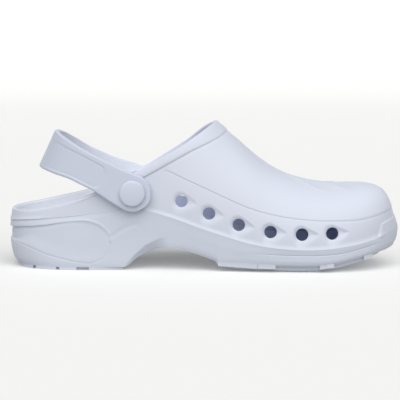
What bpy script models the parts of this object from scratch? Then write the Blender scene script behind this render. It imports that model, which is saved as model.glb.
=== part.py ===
"""Moulded work clog: upper, cup sole, insole, heel strap and two strap rivets.

All tables are in millimetres. x runs from the back of the heel to the toe, z up from the floor, and the
near side is the inner side of a left shoe. The model itself is in metres with its origin on the floor
under the middle of the shoe and +X towards the toe.
"""

import math

import bpy
import numpy as np

MM = 0.001

# Driving dimensions
LENGTH = 270.0
WALL = 3.6
SEAM_GAP = 0.35
TURN_STEPS = 34
BEAD_HEIGHT = 2.4
RIM_ROUND = 1.1

# Plan of the shoe at the welt bead: middle line and half width
OUTLINE_COLUMNS = ("x", "middle", "half")
OUTLINE = (
    (0.0, 0.0, 0.0),
    (10.0, 0.0, 24.4),
    (45.0, 0.2, 36.2),
    (92.0, 1.4, 38.8),
    (135.0, 2.4, 44.6),
    (180.0, 1.8, 50.8),
    (205.0, 0.4, 51.4),
    (228.0, -2.2, 47.4),
    (248.0, -5.2, 37.2),
    (260.0, -7.0, 25.4),
    (270.0, -8.0, 0.0),
)

# Height of the welt bead, which is the seam between upper and sole
BEAD_COLUMNS = ("x", "z")
BEAD = (
    (0.0, 32.0),
    (9.5, 33.4),
    (21.4, 34.6),
    (35.2, 35.8),
    (48.8, 37.1),
    (65.6, 39.2),
    (76.0, 40.5),
    (86.0, 41.3),
    (95.0, 40.8),
    (106.0, 38.5),
    (119.2, 34.4),
    (132.5, 29.6),
    (149.4, 24.3),
    (166.0, 19.6),
    (183.0, 16.8),
    (200.0, 15.7),
    (217.0, 16.2),
    (234.0, 18.4),
    (246.0, 20.8),
    (252.7, 22.8),
    (259.6, 24.8),
    (265.0, 26.2),
    (270.0, 27.0),
)

# Ridge of the vamp, carried on past the collar as the instep of the last, and the roundness of its arch
RIDGE_COLUMNS = ("x", "z", "power")
RIDGE = (
    (60.0, 176.0, 2.0),
    (92.0, 147.0, 2.0),
    (126.0, 116.4, 2.0),
    (145.0, 99.8, 2.0),
    (160.4, 86.8, 2.05),
    (171.6, 77.1, 2.1),
    (182.9, 69.0, 2.15),
    (194.2, 63.4, 2.2),
    (205.4, 60.1, 2.25),
    (222.4, 57.6, 2.35),
    (239.0, 57.8, 2.4),
    (248.0, 57.6, 2.4),
    (256.0, 55.8, 2.4),
    (261.5, 51.8, 2.4),
    (265.0, 45.0, 2.4),
    (267.2, 38.2, 2.4),
    (268.8, 32.4, 2.4),
    (270.0, 27.8, 2.4),
)

# Collar edge seen from the side
COLLAR_COLUMNS = ("x", "near", "far")
COLLAR = (
    (0.0, 39.0, 39.4),
    (18.0, 39.6, 41.4),
    (31.4, 42.1, 43.8),
    (45.5, 45.6, 46.6),
    (61.8, 51.7, 51.2),
    (78.0, 59.6, 57.8),
    (94.4, 67.9, 65.6),
    (108.7, 76.2, 74.4),
    (126.7, 87.3, 86.4),
    (137.2, 94.6, 95.0),
    (145.0, 99.8, 99.8),
)

# Where the wall that rises from a place on the bead ends on the collar
REACH_COLUMNS = ("x_bead", "x_collar")
REACH = (
    (0.0, 2.0),
    (20.0, 20.5),
    (60.0, 59.0),
    (92.0, 87.0),
    (120.0, 105.0),
    (150.0, 117.0),
    (180.0, 126.5),
    (210.0, 134.6),
    (240.0, 140.7),
    (262.0, 144.1),
    (270.0, 145.0),
)

# Width and lift of the collar trim, by place on the bead
TRIM_COLUMNS = ("x", "width", "lift")
TRIM = (
    (0.0, 2.0, 0.0),
    (60.0, 3.4, 0.0),
    (95.0, 5.2, 0.9),
    (132.0, 6.2, 1.0),
    (168.0, 6.8, 1.0),
    (204.0, 8.6, 1.0),
    (240.0, 10.2, 0.9),
    (270.0, 10.4, 0.8),
)

# Groove between side panel and vamp, seen from the side
GROOVE_COLUMNS = ("x", "z")
GROOVE = (
    (95.0, 77.5),
    (109.7, 69.1),
    (120.8, 63.3),
    (132.5, 58.0),
    (149.5, 50.2),
    (166.3, 43.2),
    (183.2, 38.7),
    (200.0, 36.2),
    (217.1, 35.2),
    (234.6, 35.3),
    (248.4, 37.0),
    (262.5, 40.6),
    (270.0, 43.0),
)
HEEL_LEAN = 0.7
SIDE_INSET = 0.8
GROOVE_INSET = 1.5
GROOVE_WIDTH = 1.6
GROOVE_LIMIT = 0.92
GROOVE_BLEND = 8.0
GROOVE_FROM = 104.0
GROOVE_FULL = 128.0
GROOVE_MOST = 0.1
HEEL_TO = 30.0
WALL_FROM = 70.0
ARCH_FROM = 112.0

# Levels of the upper's wall, as shares of the stretch that they divide
PATH_POINTS = 161
BEAD_MOST = 0.2
BEAD_SHOULDER = 0.75
TRIM_MOST = 0.3
TRIM_FOOT = 0.08
TRIM_SHOULDER = 0.8
RIM_SET = 0.25
SIDE_LEVELS = (0.3, 0.55, 0.8)
VAMP_LEVELS = (0.05, 0.1, 0.15, 0.21, 0.3, 0.42, 0.54, 0.66, 0.8)
INNER_LEVELS = (0.97, 0.76, 0.58, 0.44, 0.3, 0.2, 0.1, 0.0)

# Side of the sole: how far each level stands in from the bead, by place along the shoe
SOLE_SIDE_COLUMNS = ("drop", "heel", "waist", "ball", "toe")
SOLE_SIDE = (
    (0.0, 0.7, 0.5, 0.4, 0.3),
    (0.05, 0.5, 0.5, 0.5, 0.3),
    (0.1, 0.2, 0.5, 0.7, 0.3),
    (0.19, 0.0, 0.8, 0.8, 0.3),
    (0.23, 1.3, 0.9, 0.8, 0.3),
    (0.36, 1.2, 1.2, 0.8, 0.2),
    (0.42, 0.1, 1.4, 0.1, 0.1),
    (0.58, 0.5, 2.0, 0.5, 0.5),
    (0.76, 1.7, 3.0, 1.2, 1.2),
    (0.9, 3.4, 6.0, 2.4, 2.2),
    (1.0, 6.0, 9.5, 4.6, 4.4),
)
SOLE_STATIONS = (60.0, 112.0, 175.0, 262.0)

# Underside of the sole and top of its footbed
SOLE_HEIGHT_COLUMNS = ("x", "underside", "footbed")
SOLE_HEIGHT = (
    (0.0, 2.2, 23.6),
    (8.0, 2.2, 23.6),
    (60.0, 2.2, 24.4),
    (81.0, 2.2, 25.6),
    (84.6, 3.6, 25.8),
    (88.7, 8.2, 26.0),
    (96.6, 13.5, 26.0),
    (105.2, 15.7, 25.6),
    (118.1, 15.3, 24.4),
    (132.5, 11.0, 21.2),
    (143.6, 7.6, 18.4),
    (145.4, 4.8, 17.8),
    (158.0, 4.4, 15.4),
    (172.0, 4.2, 13.8),
    (199.0, 4.0, 13.0),
    (213.0, 4.4, 13.2),
    (222.6, 5.6, 13.8),
    (234.4, 8.2, 14.8),
    (244.0, 10.4, 16.2),
    (252.0, 12.2, 17.2),
    (258.4, 13.8, 18.0),
    (265.3, 16.0, 19.0),
    (270.0, 18.4, 20.4),
)
MIDDLE_FROM = 34.0
MIDDLE_TO = 222.0
FOOTBED_SLACK = 4.4
BED_TAPER = 0.35
BED_ROW = 7
UNDERSIDE_LEVELS = (1.0, 0.6, 0.25)
INSOLE_THICK = 3.4
INSOLE_GAP = 0.6
INSOLE_CLEAR = 0.05
INSOLE_ROUND = 0.1
INSOLE_SHOULDER = 0.75

# Rows of lugs across the sole
LUG_COLUMNS = ("x_from", "x_to", "z_from", "z_to")
LUGS = (
    (9.0, 18.7, 0.0, 0.0),
    (20.7, 35.2, 0.0, 0.0),
    (37.5, 49.2, 0.0, 0.0),
    (57.7, 81.0, 0.0, 0.0),
    (151.0, 158.5, 1.6, 0.4),
    (162.0, 170.0, 0.0, 0.0),
    (173.5, 186.0, 0.0, 0.0),
    (190.0, 201.0, 0.0, 0.0),
    (205.0, 213.0, 0.0, 0.0),
    (217.0, 226.7, 1.0, 3.4),
    (231.0, 241.0, 4.8, 7.2),
    (246.0, 254.6, 8.8, 10.8),
)
LUG_ROOT = 2.0
LUG_EDGE_HEEL = 1.6
LUG_EDGE_BALL = 8.0
LUG_CHANNEL = 4.0
LUG_POINTS = 3

# Round side vents, the same number on each side
VENT_COLUMNS = ("x", "z")
VENTS = (
    (120.1, 47.4),
    (138.5, 39.2),
    (158.4, 31.9),
    (179.6, 27.4),
    (200.8, 25.8),
    (221.5, 26.5),
)
VENT_DIAMETER = 8.4
VENT_SIDES = 14

# Heel strap: it leaves its pivot backwards and upwards, and its band is square to that direction
PIVOT_X = 87.6
PIVOT_Z = 53.0
STRAP_TILT = math.radians(25.0)
STRAP_LENGTH = 63.6
STRAP_THICK = 4.0
STRAP_END = 12.6
STRAP_STEPS = 36
STRAP_POWER = 2.25
STRAP_COLUMNS = ("along", "half_width", "recess")
STRAP = (
    (0.0, 12.6, 0.0),
    (11.0, 11.6, 0.0),
    (18.0, 10.5, 0.0),
    (26.0, 9.8, 0.8),
    (39.0, 9.9, 0.8),
    (52.0, 11.9, 0.8),
    (63.6, 14.0, 0.5),
)
STRAP_RIM = 3.0
STRAP_EDGE = 0.9
STRAP_RIM_MOST = 0.5
STRAP_EDGE_MOST = 0.2
STRAP_END_ANGLES = np.radians((14, 32, 50, 70))

# Rivets and their seats on the upper
SEAT_RADIUS = 9.2
SEAT_PROUD = 1.7
SEAT_BACK = 6.4
RIVET_HOLE = 4.0
SHANK_RADIUS = 3.6
CAP_RADIUS = 8.7
CAP_HEIGHT = 3.2
FLANGE_RADIUS = 7.0
FLANGE_THICK = 1.6
# Turned ends of a rivet, as shares of their height and radius
FLANGE = ((1.0, 0.6), (0.5, 1.0), (0.0, 1.0))
CAP = ((0.0, 1.0), (0.55, 1.0), (0.85, 0.86), (1.0, 0.45))
ROUND_SIDES = 24
SMOOTH_ANGLE = math.radians(40.0)


def column(rows, columns, name):
    """One named column of a table."""
    return np.array([row[columns.index(name)] for row in rows])


def flowing(knots, values):
    """Natural cubic curve through a table's column."""
    gaps = np.diff(knots)
    count = len(knots)
    system = np.eye(count)
    bend = np.zeros(count)
    for i in range(1, count - 1):
        system[i, i - 1:i + 2] = gaps[i - 1], 2 * (gaps[i - 1] + gaps[i]), gaps[i]
        bend[i] = 3 * ((values[i + 1] - values[i]) / gaps[i] - (values[i] - values[i - 1]) / gaps[i - 1])
    curve = np.linalg.solve(system, bend)

    def at(place):
        place = np.asarray(place, float)
        i = np.clip(np.searchsorted(knots, place) - 1, 0, count - 2)
        step = place - knots[i]
        slope = (values[i + 1] - values[i]) / gaps[i] - gaps[i] * (2 * curve[i] + curve[i + 1]) / 3
        cubic = (curve[i + 1] - curve[i]) / (3 * gaps[i])
        return values[i] + step * (slope + step * (curve[i] + step * cubic))

    return at


def steady(knots, values):
    """Smooth curve through a table's column that never swings past its rows."""
    gaps = np.diff(knots)
    rises = np.diff(values) / gaps
    slopes = np.zeros(len(knots))
    for i in range(1, len(knots) - 1):
        if rises[i - 1] * rises[i] > 0:
            ahead = 2 * gaps[i] + gaps[i - 1]
            behind = gaps[i] + 2 * gaps[i - 1]
            slopes[i] = (ahead + behind) / (ahead / rises[i - 1] + behind / rises[i])
    slopes[0] = rises[0]
    slopes[-1] = rises[-1]

    def at(place):
        place = np.clip(np.asarray(place, float), knots[0], knots[-1])
        i = np.clip(np.searchsorted(knots, place) - 1, 0, len(knots) - 2)
        u = (place - knots[i]) / gaps[i]
        start = (1 + 2 * u) * (1 - u) ** 2 * values[i] + u * (1 - u) ** 2 * gaps[i] * slopes[i]
        end = u * u * (3 - 2 * u) * values[i + 1] + u * u * (u - 1) * gaps[i] * slopes[i + 1]
        return start + end

    return at


def turn_of(x):
    """Turn round the plan, 0 at the heel and pi at the toe, that keeps both ends round."""
    return np.arccos(np.clip(1 - 2 * np.asarray(x, float) / LENGTH, -1, 1))


OUTLINE_TURNS = turn_of(column(OUTLINE, OUTLINE_COLUMNS, "x"))
MIDDLE = flowing(OUTLINE_TURNS, column(OUTLINE, OUTLINE_COLUMNS, "middle"))
HALF = flowing(OUTLINE_TURNS, column(OUTLINE, OUTLINE_COLUMNS, "half"))
BEAD_Z = flowing(column(BEAD, BEAD_COLUMNS, "x"), column(BEAD, BEAD_COLUMNS, "z"))
RIDGE_TURNS = turn_of(column(RIDGE, RIDGE_COLUMNS, "x"))
RIDGE_Z = flowing(RIDGE_TURNS, column(RIDGE, RIDGE_COLUMNS, "z"))
RIDGE_POWER = steady(RIDGE_TURNS, column(RIDGE, RIDGE_COLUMNS, "power"))
COLLAR_X = column(COLLAR, COLLAR_COLUMNS, "x")
COLLAR_NEAR = flowing(COLLAR_X, column(COLLAR, COLLAR_COLUMNS, "near"))
COLLAR_FAR = flowing(COLLAR_X, column(COLLAR, COLLAR_COLUMNS, "far"))
REACH_TURNS = turn_of(column(REACH, REACH_COLUMNS, "x_bead"))
REACH_X = steady(REACH_TURNS, column(REACH, REACH_COLUMNS, "x_collar"))
TRIM_X = column(TRIM, TRIM_COLUMNS, "x")
TRIM_WIDTH = steady(TRIM_X, column(TRIM, TRIM_COLUMNS, "width"))
TRIM_LIFT = steady(TRIM_X, column(TRIM, TRIM_COLUMNS, "lift"))
GROOVE_Z = steady(column(GROOVE, GROOVE_COLUMNS, "x"), column(GROOVE, GROOVE_COLUMNS, "z"))
SOLE_X = column(SOLE_HEIGHT, SOLE_HEIGHT_COLUMNS, "x")
UNDERSIDE = steady(SOLE_X, column(SOLE_HEIGHT, SOLE_HEIGHT_COLUMNS, "underside"))
FOOTBED = steady(SOLE_X, column(SOLE_HEIGHT, SOLE_HEIGHT_COLUMNS, "footbed"))
STRAP_ALONG = column(STRAP, STRAP_COLUMNS, "along")
STRAP_HALF = steady(STRAP_ALONG, column(STRAP, STRAP_COLUMNS, "half_width"))
STRAP_RECESS = steady(STRAP_ALONG, column(STRAP, STRAP_COLUMNS, "recess"))

# Turns once round the shoe: heel, near side, toe, far side
RISING = np.linspace(0, math.pi, TURN_STEPS + 1)
TURNS = np.concatenate([RISING, RISING[-2:0:-1]])
SIDES = np.concatenate([-np.ones(TURN_STEPS + 1), np.ones(TURN_STEPS - 1)])
PLAN_X = LENGTH * (1 - np.cos(TURNS)) / 2
PLAN_Y = MIDDLE(TURNS) + SIDES * HALF(TURNS)
SIDEWAYS_SHIFT = -(PLAN_Y.max() + PLAN_Y.min()) / 2


def plan_normals():
    """Outward directions of the outline, seen from above."""
    along_x = np.roll(PLAN_X, -1) - np.roll(PLAN_X, 1)
    along_y = np.roll(PLAN_Y, -1) - np.roll(PLAN_Y, 1)
    size = np.hypot(along_x, along_y)
    return along_y / size, -along_x / size


OUT_X, OUT_Y = plan_normals()


def ring(inset, z):
    """Ring of points that stands in from the outline by inset, at heights z."""
    return np.stack([PLAN_X - inset * OUT_X, PLAN_Y - inset * OUT_Y, z + 0 * PLAN_X], axis=1)


def last_height(x, y):
    """Height of the last over a place in plan: an arch from bead to ridge to bead."""
    turn = turn_of(x)
    across = np.clip(np.abs((y - MIDDLE(turn)) / np.maximum(HALF(turn), 0.01)), 0, 1)
    power = RIDGE_POWER(turn)
    return BEAD_Z(x) + (RIDGE_Z(turn) - BEAD_Z(x)) * (1 - across ** power) ** (1 / power)


def eased(place, start, end):
    """0 before start, 1 after end, and a soft step between them."""
    share = np.clip((place - start) / (end - start), 0, 1)
    return share * share * (3 - 2 * share)


def collar_edge():
    """Collar edge above every turn of the outline."""
    x = REACH_X(TURNS)
    turn = turn_of(x)
    z = np.where(SIDES < 0, COLLAR_NEAR(x), COLLAR_FAR(x))
    bead = BEAD_Z(x)
    share = np.clip((z - bead) / (RIDGE_Z(np.maximum(turn, RIDGE_TURNS[0])) - bead), 0, 1)
    power = RIDGE_POWER(turn)
    half = HALF(turn) * (1 - share ** power) ** (1 / power)
    arch = np.stack([x, MIDDLE(turn) + SIDES * half, z], axis=1)
    heel = ring(HEEL_LEAN, 0.0)
    heel[:, 2] = np.where(SIDES < 0, COLLAR_NEAR(heel[:, 0]), COLLAR_FAR(heel[:, 0]))
    return heel + (arch - heel) * eased(PLAN_X, HEEL_TO, WALL_FROM)[:, None]


def evened(paths, count):
    """Paths with their points set at even distances, and their lengths."""
    steps = np.linalg.norm(np.diff(paths, axis=1), axis=2)
    runs = np.concatenate([np.zeros((len(paths), 1)), np.cumsum(steps, axis=1)], axis=1)
    even = np.empty((len(paths), count, 3))
    for i, run in enumerate(runs):
        places = np.linspace(0, run[-1], count)
        for axis in range(3):
            even[i, :, axis] = np.interp(places, run, paths[i, :, axis])
    return even, runs[:, -1]


def upper_walls(count):
    """Paths up the outside of the last, from bead to collar edge, for every turn."""
    start = np.stack([PLAN_X, PLAN_Y, BEAD_Z(PLAN_X)], axis=1)
    end = collar_edge()
    share = np.linspace(0, 1, count)[None, :]
    slow = share ** 3
    arch_x = start[:, :1] + (end[:, :1] - start[:, :1]) * slow
    arch_y = start[:, 1:2] + (end[:, 1:2] - start[:, 1:2]) * slow
    arch = np.stack([arch_x, arch_y, last_height(arch_x, arch_y)], axis=2)
    lean = share ** 2
    wall_x = start[:, :1] + (end[:, :1] - start[:, :1]) * lean
    wall_y = start[:, 1:2] + (end[:, 1:2] - start[:, 1:2]) * lean
    wall_z = start[:, 2:] + (end[:, 2:] - start[:, 2:]) * share
    wall = np.stack([wall_x, wall_y, wall_z], axis=2)
    arch, _ = evened(arch, count)
    wall, _ = evened(wall, count)
    mix = eased(PLAN_X, WALL_FROM, ARCH_FROM)[:, None, None]
    return evened(wall + (arch - wall) * mix, count)


def wall_normals(paths):
    """Outward directions on the wall."""
    round_step = np.roll(paths, -1, axis=0) - np.roll(paths, 1, axis=0)
    up_step = np.gradient(paths, axis=1)
    normals = np.cross(round_step, up_step)
    normals /= np.linalg.norm(normals, axis=2)[:, :, None]
    normals[:, 0, 0] = OUT_X
    normals[:, 0, 1] = OUT_Y
    normals[:, 0, 2] = 0
    return normals


def groove_rise(paths, lengths):
    """How far up each path the groove crosses it, or the path's length where it passes below the collar."""
    over = paths[:, :, 2] - GROOVE_Z(paths[:, :, 0])
    last = paths.shape[1] - 1
    first = np.where((over > 0).any(axis=1), np.argmax(over > 0, axis=1), last)
    row = np.arange(len(paths))
    below = over[row, first - 1]
    part = np.clip(-below / (over[row, first] - below), 0, 1)
    return (first - 1 + part) / last * lengths


def on_wall(paths, normals, lengths, places, lifts):
    """Ring on the wall at distances up from the bead, lifted off it."""
    last = paths.shape[1] - 1
    spots = np.clip(places / lengths, 0, 1) * last
    low = np.minimum(spots.astype(int), last - 1)
    part = (spots - low)[:, None]
    row = np.arange(len(paths))
    points = paths[row, low] * (1 - part) + paths[row, low + 1] * part
    outward = normals[row, low] * (1 - part) + normals[row, low + 1] * part
    return points + outward / np.linalg.norm(outward, axis=1)[:, None] * lifts[:, None]


def world(points):
    """Table millimetres to model metres."""
    return (np.asarray(points) + (-LENGTH / 2, SIDEWAYS_SHIFT, 0.0)) * MM


def plain_material(name, colour, roughness):
    """Moulded foam of one colour."""
    material = bpy.data.materials.new(name)
    material.use_nodes = True
    shader = material.node_tree.nodes["Principled BSDF"]
    shader.inputs["Base Color"].default_value = (*colour, 1.0)
    shader.inputs["Roughness"].default_value = roughness
    shader.inputs["Metallic"].default_value = 0.0
    material.diffuse_color = (*colour, 1.0)
    return material


def solid(name, points, faces, material=None):
    """Object from points in table millimetres and faces that look outwards."""
    mesh = bpy.data.meshes.new(name)
    mesh.from_pydata([tuple(point) for point in world(points)], [], faces)
    mesh.update()
    body = bpy.data.objects.new(name, mesh)
    bpy.context.scene.collection.objects.link(body)
    if material:
        mesh.materials.append(material)
        mesh.shade_smooth()
        mesh.set_sharp_from_angle(angle=SMOOTH_ANGLE)
    return body


def lofted(name, rings, material, closed):
    """Solid through rings of equal counts: a closed tube, or one whose first and last rings are seams.

    A seam ring lies on the middle line, so its near and far points are the same.
    """
    count = len(rings[0])
    points = []
    numbers = []
    for level, points_here in enumerate(rings):
        seam = not closed and level in (0, len(rings) - 1)
        base = len(points)
        if seam:
            points.extend(points_here[:count // 2 + 1])
            numbers.append([base + min(i, count - i) for i in range(count)])
        else:
            points.extend(points_here)
            numbers.append([base + i for i in range(count)])
    faces = []
    pairs = list(zip(numbers, numbers[1:]))
    if closed:
        pairs.append((numbers[-1], numbers[0]))
    for low, high in pairs:
        for i in range(count):
            j = (i + 1) % count
            corners = [low[i], low[j], high[j], high[i]]
            face = [corner for k, corner in enumerate(corners) if corner != corners[k - 1]]
            faces.append(face)
    return solid(name, np.array(points), faces, material)


def prism(lower, upper_points):
    """Points and faces of a block between two like polygons, the lower one anticlockwise from above."""
    count = len(lower)
    points = list(lower) + list(upper_points)
    faces = [list(range(count - 1, -1, -1)), list(range(count, 2 * count))]
    for i in range(count):
        j = (i + 1) % count
        faces.append([i, j, count + j, count + i])
    return points, faces


def joined_blocks(name, blocks):
    """One guide object from several blocks."""
    points = []
    faces = []
    for block_points, block_faces in blocks:
        base = len(points)
        points.extend(block_points)
        faces.extend([[base + corner for corner in face] for face in block_faces])
    guide = solid(name, np.array(points), faces)
    guide.hide_render = True
    guide.display_type = "WIRE"
    return guide


def combine(body, guide, operation):
    """Boolean of a body with a guide object."""
    change = body.modifiers.new(guide.name, "BOOLEAN")
    change.operation = operation
    change.solver = "EXACT"
    change.object = guide


def round_block(centre, direction, radius, start, end, sides):
    """Round bar along a level direction, from start to end along it."""
    direction = np.array(direction) / np.linalg.norm(direction)
    across = np.cross((0, 0, 1), direction)
    angles = np.linspace(0, 2 * math.pi, sides, endpoint=False)
    circle = radius * (np.cos(angles)[:, None] * across + np.sin(angles)[:, None] * np.array((0, 0, 1)))
    return prism(centre + circle + start * direction, centre + circle + end * direction)


def toward_middle(edge, share, height):
    """Ring moved from an edge ring towards the middle line, at the heights that a curve gives."""
    middle_x = MIDDLE_FROM + (MIDDLE_TO - MIDDLE_FROM) * PLAN_X / LENGTH
    x = edge[:, 0] + (middle_x - edge[:, 0]) * share
    y = edge[:, 1] + (MIDDLE(turn_of(middle_x)) - edge[:, 1]) * share
    return np.stack([x, y, height(x)], axis=1)


def make_upper(material):
    """Hollow shell from the bead to the collar."""
    paths, lengths = upper_walls(PATH_POINTS)
    normals = wall_normals(paths)
    trim = lengths - np.minimum(TRIM_WIDTH(PLAN_X), TRIM_MOST * lengths)
    bead = np.minimum(BEAD_HEIGHT, BEAD_MOST * lengths)
    groove = groove_rise(paths, lengths)
    highest = bead + GROOVE_LIMIT * (trim - bead)
    groove = (groove ** -GROOVE_BLEND + highest ** -GROOVE_BLEND) ** (-1 / GROOVE_BLEND)
    groove_foot = groove - np.minimum(GROOVE_WIDTH, GROOVE_MOST * lengths)
    cut = eased(PLAN_X, GROOVE_FROM, GROOVE_FULL)
    flush = 0 * PLAN_X
    side = flush - SIDE_INSET
    vamp = side + SIDE_INSET * cut
    crest = vamp + TRIM_LIFT(PLAN_X)

    def level(places, lifts):
        return on_wall(paths, normals, lengths, places, lifts)

    rings = [level(flush, flush), level(BEAD_SHOULDER * bead, flush), level(bead, side)]
    for share in SIDE_LEVELS:
        rings.append(level(bead + share * (groove - GROOVE_WIDTH - bead), side))
    rings.append(level(groove_foot, side - (GROOVE_INSET - SIDE_INSET) * cut))
    rings.append(level(groove, vamp))
    for share in VAMP_LEVELS:
        rings.append(level(groove + share * (trim - groove), vamp))
    rings.append(level(trim, vamp))
    rings.append(level(trim + TRIM_FOOT * (lengths - trim), crest))
    rings.append(level(trim + TRIM_SHOULDER * (lengths - trim), crest))
    for lifts in (crest - RIM_SET * WALL, flush - (1 - RIM_SET) * WALL):
        rim = level(lengths, lifts)
        rim[:, 2] += RIM_ROUND
        rings.append(rim)
    for share in INNER_LEVELS:
        rings.append(level(share * lengths, flush - WALL))
    upper = lofted("upper", rings, material, closed=True)

    seats = []
    holes = []
    for side in (-1, 1):
        face = seat_face(side)
        centre = np.array((PIVOT_X, face, PIVOT_Z))
        outward = np.array((0.0, side, 0.0))
        seats.append(round_block(centre, outward, SEAT_RADIUS, -SEAT_BACK, 0.0, ROUND_SIDES))
        holes.append(round_block(centre, outward, RIVET_HOLE, -3 * SEAT_BACK, SEAT_BACK, ROUND_SIDES))
    combine(upper, joined_blocks("seat_guide", seats), "UNION")
    combine(upper, joined_blocks("rivet_hole_guide", holes), "DIFFERENCE")

    vents = []
    for x, z in zip(column(VENTS, VENT_COLUMNS, "x"), column(VENTS, VENT_COLUMNS, "z")):
        turn = turn_of(x)
        for side in (-1, 1):
            here = np.argmin(np.abs(TURNS - turn) + 10 * (SIDES != side))
            outward = np.array((OUT_X[here], OUT_Y[here], 0.0))
            centre = np.array((x, MIDDLE(turn) + side * HALF(turn), z))
            vents.append(round_block(centre, outward, VENT_DIAMETER / 2, -4 * WALL, WALL, VENT_SIDES))
    combine(upper, joined_blocks("vent_guide", vents), "DIFFERENCE")
    return upper


def seat_face(side):
    """Sideways place of the flat seat that a strap end lies on."""
    turn = turn_of(PIVOT_X)
    return float(MIDDLE(turn) + side * (HALF(turn) + SEAT_PROUD))


def sole_inset(row):
    """Inset of the sole's side for every turn, at one row of its table."""
    return np.interp(PLAN_X, SOLE_STATIONS, SOLE_SIDE[row][1:])


def make_sole(material):
    """Cup sole: underside, stepped side, rim under the upper and footbed, with lugs."""
    top = BEAD_Z(PLAN_X) - SEAM_GAP
    low = UNDERSIDE(PLAN_X)
    side_rings = []
    for row, drop in enumerate(column(SOLE_SIDE, SOLE_SIDE_COLUMNS, "drop")):
        side_rings.append(ring(sole_inset(row), top + (low - top) * drop))
    edge = side_rings[-1]
    edge[:, 2] = UNDERSIDE(edge[:, 0])
    bed_edge, bed_half, bed_middle = footbed_rings()
    rings = [
        *[toward_middle(edge, share, UNDERSIDE) for share in UNDERSIDE_LEVELS],
        *side_rings[::-1],
        ring(WALL, top),
        bed_edge,
        bed_half,
        bed_middle,
    ]
    sole = lofted("sole", rings, material, closed=False)
    combine(sole, joined_blocks("lug_guide", lug_blocks()), "UNION")
    return sole


def lug_blocks():
    """Flat-bottomed lugs in rows, each row with a near and a far lug beside a middle channel."""
    lug_edge = LUG_EDGE_HEEL + (LUG_EDGE_BALL - LUG_EDGE_HEEL) * eased(PLAN_X, *SOLE_STATIONS[:2])
    edge = ring(sole_inset(-1) + lug_edge, 0.0)
    near = edge[:TURN_STEPS + 1]
    far = edge[TURN_STEPS:]
    far = np.concatenate([far, edge[:1]])[::-1]
    blocks = []
    lug_sizes = [column(LUGS, LUG_COLUMNS, name) for name in LUG_COLUMNS]
    for x_from, x_to, z_from, z_to in zip(*lug_sizes):
        xs = np.linspace(x_from, x_to, LUG_POINTS)
        middle = MIDDLE(turn_of(xs))
        near_y = np.interp(xs, near[:, 0], near[:, 1])
        far_y = np.interp(xs, far[:, 0], far[:, 1])
        floor = np.linspace(z_from, z_to, LUG_POINTS)
        root = UNDERSIDE(xs) + LUG_ROOT
        for outer, inner in ((near_y, middle - LUG_CHANNEL), (far_y, middle + LUG_CHANNEL)):
            first, second = (outer, inner) if outer[0] < inner[0] else (inner, outer)
            corner_x = np.concatenate([xs, xs[::-1]])
            corner_y = np.concatenate([first, second[::-1]])
            lower = np.stack([corner_x, corner_y, np.concatenate([floor, floor[::-1]])], axis=1)
            higher = np.stack([corner_x, corner_y, np.concatenate([root, root[::-1]])], axis=1)
            blocks.append(prism(lower, higher))
    return blocks


def footbed_rings():
    """Edge, half-way ring and middle line of the sole's footbed."""
    edge = ring(FOOTBED_SLACK + BED_TAPER * sole_inset(BED_ROW), 0.0)
    edge[:, 2] = FOOTBED(edge[:, 0])
    return edge, toward_middle(edge, 0.5, FOOTBED), toward_middle(edge, 1.0, FOOTBED)


def make_insole(material):
    """Footbed slab that lies in the sole."""
    bed_edge, bed_half, bed_middle = footbed_rings()
    lift = np.array((0.0, 0.0, INSOLE_GAP))
    thick = np.array((0.0, 0.0, INSOLE_THICK))
    base = bed_edge + INSOLE_CLEAR * (bed_half - bed_edge) + lift
    crown = bed_edge + INSOLE_ROUND * (bed_half - bed_edge) + lift + thick
    rings = [
        bed_middle + lift,
        bed_half + lift,
        base,
        base + INSOLE_SHOULDER * thick,
        crown,
        bed_half + lift + thick,
        bed_middle + lift + thick,
    ]
    return lofted("insole", rings, material, closed=False)


def strap_rows():
    """Places along the strap: distance from the pivots, sideways place, outward direction, half width."""
    reach = (seat_face(1) - seat_face(-1)) / 2 + SEAM_GAP
    rows = []
    for angle in STRAP_END_ANGLES:
        rows.append((-STRAP_END * math.cos(angle), -reach, 0.0, -1.0, STRAP_END * math.sin(angle)))
    for angle in np.linspace(0, math.pi, STRAP_STEPS + 1):
        side = -np.sign(math.cos(angle))
        along_share = abs(math.sin(angle)) ** (2 / STRAP_POWER)
        side_share = abs(math.cos(angle)) ** (2 / STRAP_POWER)
        along = STRAP_LENGTH * along_share
        out = np.array((along_share ** (STRAP_POWER - 1) / STRAP_LENGTH,
                        side * side_share ** (STRAP_POWER - 1) / reach))
        out /= np.linalg.norm(out)
        rows.append((along, side * reach * side_share, out[0], out[1], float(STRAP_HALF(along))))
    for angle in STRAP_END_ANGLES[::-1]:
        rows.append((-STRAP_END * math.cos(angle), reach, 0.0, 1.0, STRAP_END * math.sin(angle)))
    return rows


def strap_section(half, recess):
    """Outline across the band: across its width, and out from its inner face."""
    rim = min(STRAP_RIM, STRAP_RIM_MOST * half)
    edge = min(STRAP_EDGE, STRAP_EDGE_MOST * half)
    face = STRAP_THICK
    return (
        (-half + edge, 0.0),
        (-half, edge),
        (-half, face - edge),
        (-half + edge, face),
        (-half + rim, face),
        (-half + rim + edge, face - recess),
        (half - rim - edge, face - recess),
        (half - rim, face),
        (half - edge, face),
        (half, face - edge),
        (half, edge),
        (half - edge, 0.0),
    )


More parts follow.
